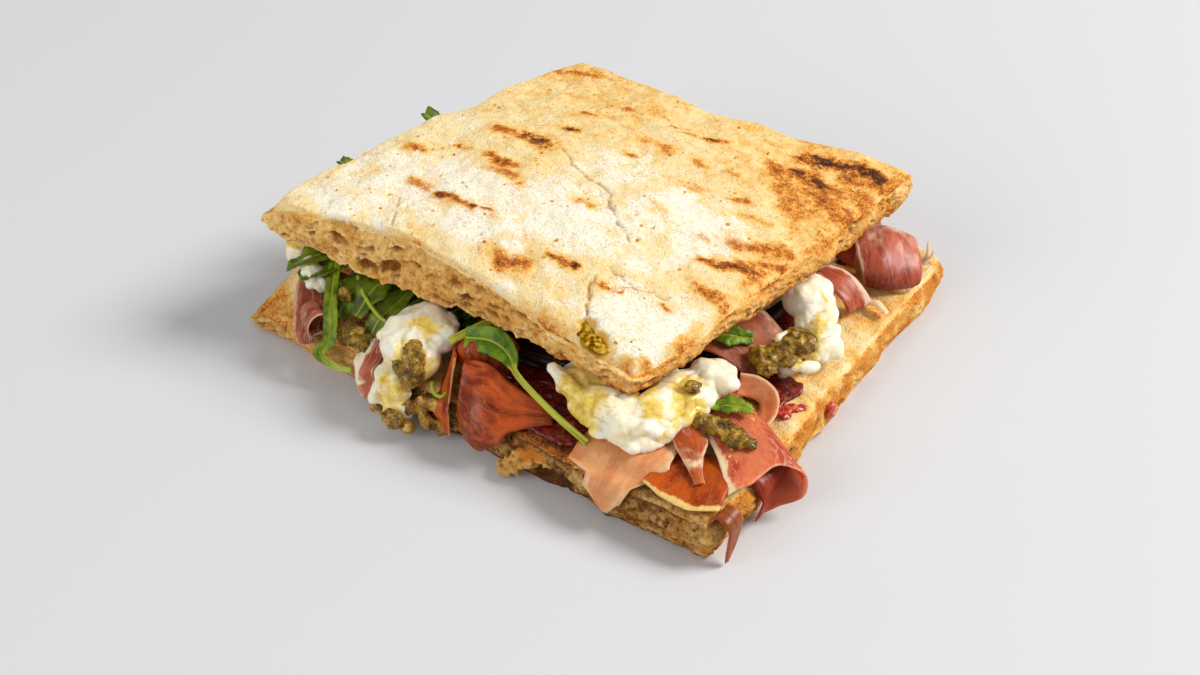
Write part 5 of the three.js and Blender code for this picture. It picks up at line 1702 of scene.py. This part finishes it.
def pesto_material(name, tones, wet=1.0):
    m = Shader(name)
    chunk, = m.marks("chunk")
    grain, fine = m.noise(1200, 4, 0.7), m.noise(2600, 2)
    colour = m.ramp(chunk * 0.35 + grain * 0.75, dict(zip((0.34, 0.46, 0.6, 0.78), tones)))
    roughness = m.spread(fine, 0.3, 0.7, 0.56 - 0.4 * wet, 0.7 - 0.36 * wet)
    return m.surface(
        colour, roughness, m.bump(grain + fine * 0.4, 0.0004, 0.8),
        (0.2, (1.0, 0.7, 0.15), 0.0015), 0.2 * wet, (0.3 * wet, 0.08),
    )


def arugula_material(name, dark, light, rib_tone):
    m = Shader(name)
    where = m.add("ShaderNodeSeparateXYZ")
    m.feed(where, i0=m.vector_mark("vein"))
    run, off = m.out(where), abs(m.out(where, 1))
    stalk, shade = m.marks("stalk", "shade")
    rib = m.spread(off, 0.03, 0.075, 1.0, 0.0)
    slant = run * 3.0 + off * 4.2 + m.noise(240, 2) * 0.8
    side_rib = m.spread(abs(m.math("FRACT", slant, 0.0) - 0.5), 0.0, 0.08, 1.0, 0.0)
    veins = m.math("MAXIMUM", rib, side_rib * 0.3)
    mottle = m.noise(210, 4, 0.6)
    colour = m.blend(m.spread(mottle, 0.3, 0.7), dark, light)
    colour = m.blend(veins * 0.7, colour, rib_tone)
    colour = m.blend(stalk * 0.85, colour, rib_tone)
    colour = m.blend(shade * 0.93, colour, (14, 22, 3))
    return m.surface(
        colour, 0.42, m.bump(mottle * 0.7 - veins * 0.7, 0.0005, 0.8),
        (0.25, (0.8, 1.0, 0.15), 0.0015), 0.25, (0.06, 0.2),
    )


def tomato_material(name, *tones):
    m = Shader(name)
    pulp = m.noise(420, 4, 0.6)
    colour = m.ramp(pulp, dict(zip((0.3, 0.5, 0.7), tones)))
    return m.surface(
        colour, m.spread(pulp, 0.3, 0.7, 0.18, 0.36), m.bump(pulp + m.noise(1200, 2), 0.0006, 0.8),
        (0.25, (1.0, 0.25, 0.1), 0.002), coat=(0.5, 0.1),
    )


# The sandwich

bread_look = bread_material()
cheese_look = cheese_material()
pesto_look = pesto_material("pesto_look", [(46, 31, 3), (98, 70, 8), (152, 114, 22), (216, 178, 84)])
soaked_look = pesto_material("soaked_look", [(84, 50, 8), (136, 92, 24), (184, 136, 48), (226, 188, 104)])
tear_look = pesto_material("tear_look", [(96, 60, 6), (150, 106, 14), (188, 144, 34), (216, 184, 78)], wet=0)
salad_look = arugula_material("salad_look", (56, 82, 6), (140, 158, 28), (180, 194, 76))
leaf_look = arugula_material("leaf_look", (58, 100, 8), (128, 158, 26), (192, 196, 66))
# The spread inside is painted dark as shade; the bits at the lower bread's right edge keep the tomato's own
# bright colour.
shaded_tomato_look = tomato_material("shaded_tomato_look", (70, 6, 2), (122, 18, 4), (176, 52, 18))
bright_tomato_look = tomato_material("bright_tomato_look", (146, 18, 6), (196, 46, 16), (232, 112, 56))
ham_looks = {tone: ham_material(tone) for tone in HAM_TONES}

upper = dress(upper_bread(), bread_look, "bread", "bread_upper")
dress(lower_bread(), bread_look, "bread", "bread_lower")
dress(bread_flap(), bread_look, "bread")
slices = {}
for node, (tone, shape) in HAM.items():
    slices[node] = dress(ham_piece(node, **shape), ham_looks[tone], "ham", node)
for scrap, (tone, shape) in SCRAPS.items():
    dress(ham_piece(scrap, **shape), ham_looks[tone], "ham")
for node, shape in LEAVES.items():
    dress(leaf_piece(node, **shape), salad_look if node in DARK_LEAVES else leaf_look, "arugula", node)
for order, (node, lumps) in enumerate(CHEESE.items()):
    dress(cheese_piece(node, lumps, order), cheese_look, "cheese", node)
for order, (node, lumps) in enumerate(PESTO.items()):
    dress(pesto_piece(node, lumps, 20 + order), pesto_look, "pesto", node)
dress(salad_piece(), salad_look, "arugula", "arugula_salad")
# The ham layers inside are painted near black as shade.
dress(bed_piece(), ham_looks["bed"], "ham", "ham_bed")
dress(heart_piece(), cheese_look, "cheese", "cheese_heart")
dress(tomato_piece(), shaded_tomato_look, "tomato", "tomato_spread")
dress(tear_pesto(), tear_look, "pesto")
dress(soaked_crumbs(), soaked_look, "bread")
dress(tomato_bits(), bright_tomato_look, "tomato")
crust_points = (UPPER_CELLS[0] + 1) * (UPPER_CELLS[1] + 1)
slice_points = FINE_CELLS[0] * FINE_CELLS[1]
crumbed = [(slices["ham_near_red"], 26, slice_points), (slices["ham_front_roll"], 10, slice_points)]
dress(crumbs("crust_crumbs", [(upper, 180, crust_points)], 5), bread_look, "bread")
dress(crumbs("ham_crumbs", crumbed, 6), bread_look, "bread")
for name, shape in STEMS.items():
    dress(tube(name, *shape, STEM_MARKS), leaf_look, "arugula")
for name, shape in FAT_THREADS.items():
    dress(tube(name, *shape, FAT_MARKS), ham_looks["pale"], "ham")


# Floor, light and camera


FLOOR_HALF = 3000  # in mm, while lights and camera are placed in metres
BACKGROUND_STRENGTH = 0.34
LIGHT_AIM = (0, 0, 0.03)
# The camera's place, what it looks at, and its lens and film width in mm.
EYE, AIM = (0.2550, -0.3626, 0.3584), (0.0041, -0.0109, 0)
LENS, FILM = 50, 36


def plain_floor():
    corners = [(x * FLOOR_HALF, y * FLOOR_HALF, 0) for x, y in ((-1, -1), (1, -1), (1, 1), (-1, 1))]
    floor = make_object("floor", corners, [np.array([[0, 1, 2, 3]])])
    m = Shader("floor_look")
    m.feed(m.skin, Base_Color=srgb(214, 215, 218), Roughness=0.6)
    floor.data.materials.append(m.material)


def put_in(name, data, place, aim):
    """Adds a light or camera at a place, turned to what it aims at."""
    added = bpy.data.objects.new(name, data)
    added.location = Vector(place)
    added.rotation_euler = (Vector(aim) - added.location).to_track_quat("-Z", "Y").to_euler()
    bpy.context.scene.collection.objects.link(added)
    return added


def area_light(name, place, size, watts, colour):
    data = bpy.data.lights.new(name, "AREA")
    data.shape, data.size, data.energy, data.color = "DISK", size, watts, colour
    put_in(name, data, place, LIGHT_AIM)


def studio():
    world = bpy.data.worlds.new("studio")
    world.use_nodes = True
    background = world.node_tree.nodes["Background"]
    background.inputs[0].default_value = (1, 1, 1, 1)
    background.inputs[1].default_value = BACKGROUND_STRENGTH
    bpy.context.scene.world = world
    area_light("key", (1.5, 1.24, 1.7), 1.1, 68, (1.0, 0.98, 0.95))
    area_light("fill", (-0.7, -2.0, 1.1), 1.8, 24, (1.0, 0.99, 0.97))


def camera():
    data = bpy.data.cameras.new("camera")
    data.lens, data.sensor_width, data.sensor_fit = LENS, FILM, "HORIZONTAL"
    data.clip_start = 0.01
    bpy.context.scene.camera = put_in("camera", data, EYE, AIM)


plain_floor()
studio()
camera()
bpy.context.scene.view_settings.view_transform = "Standard"
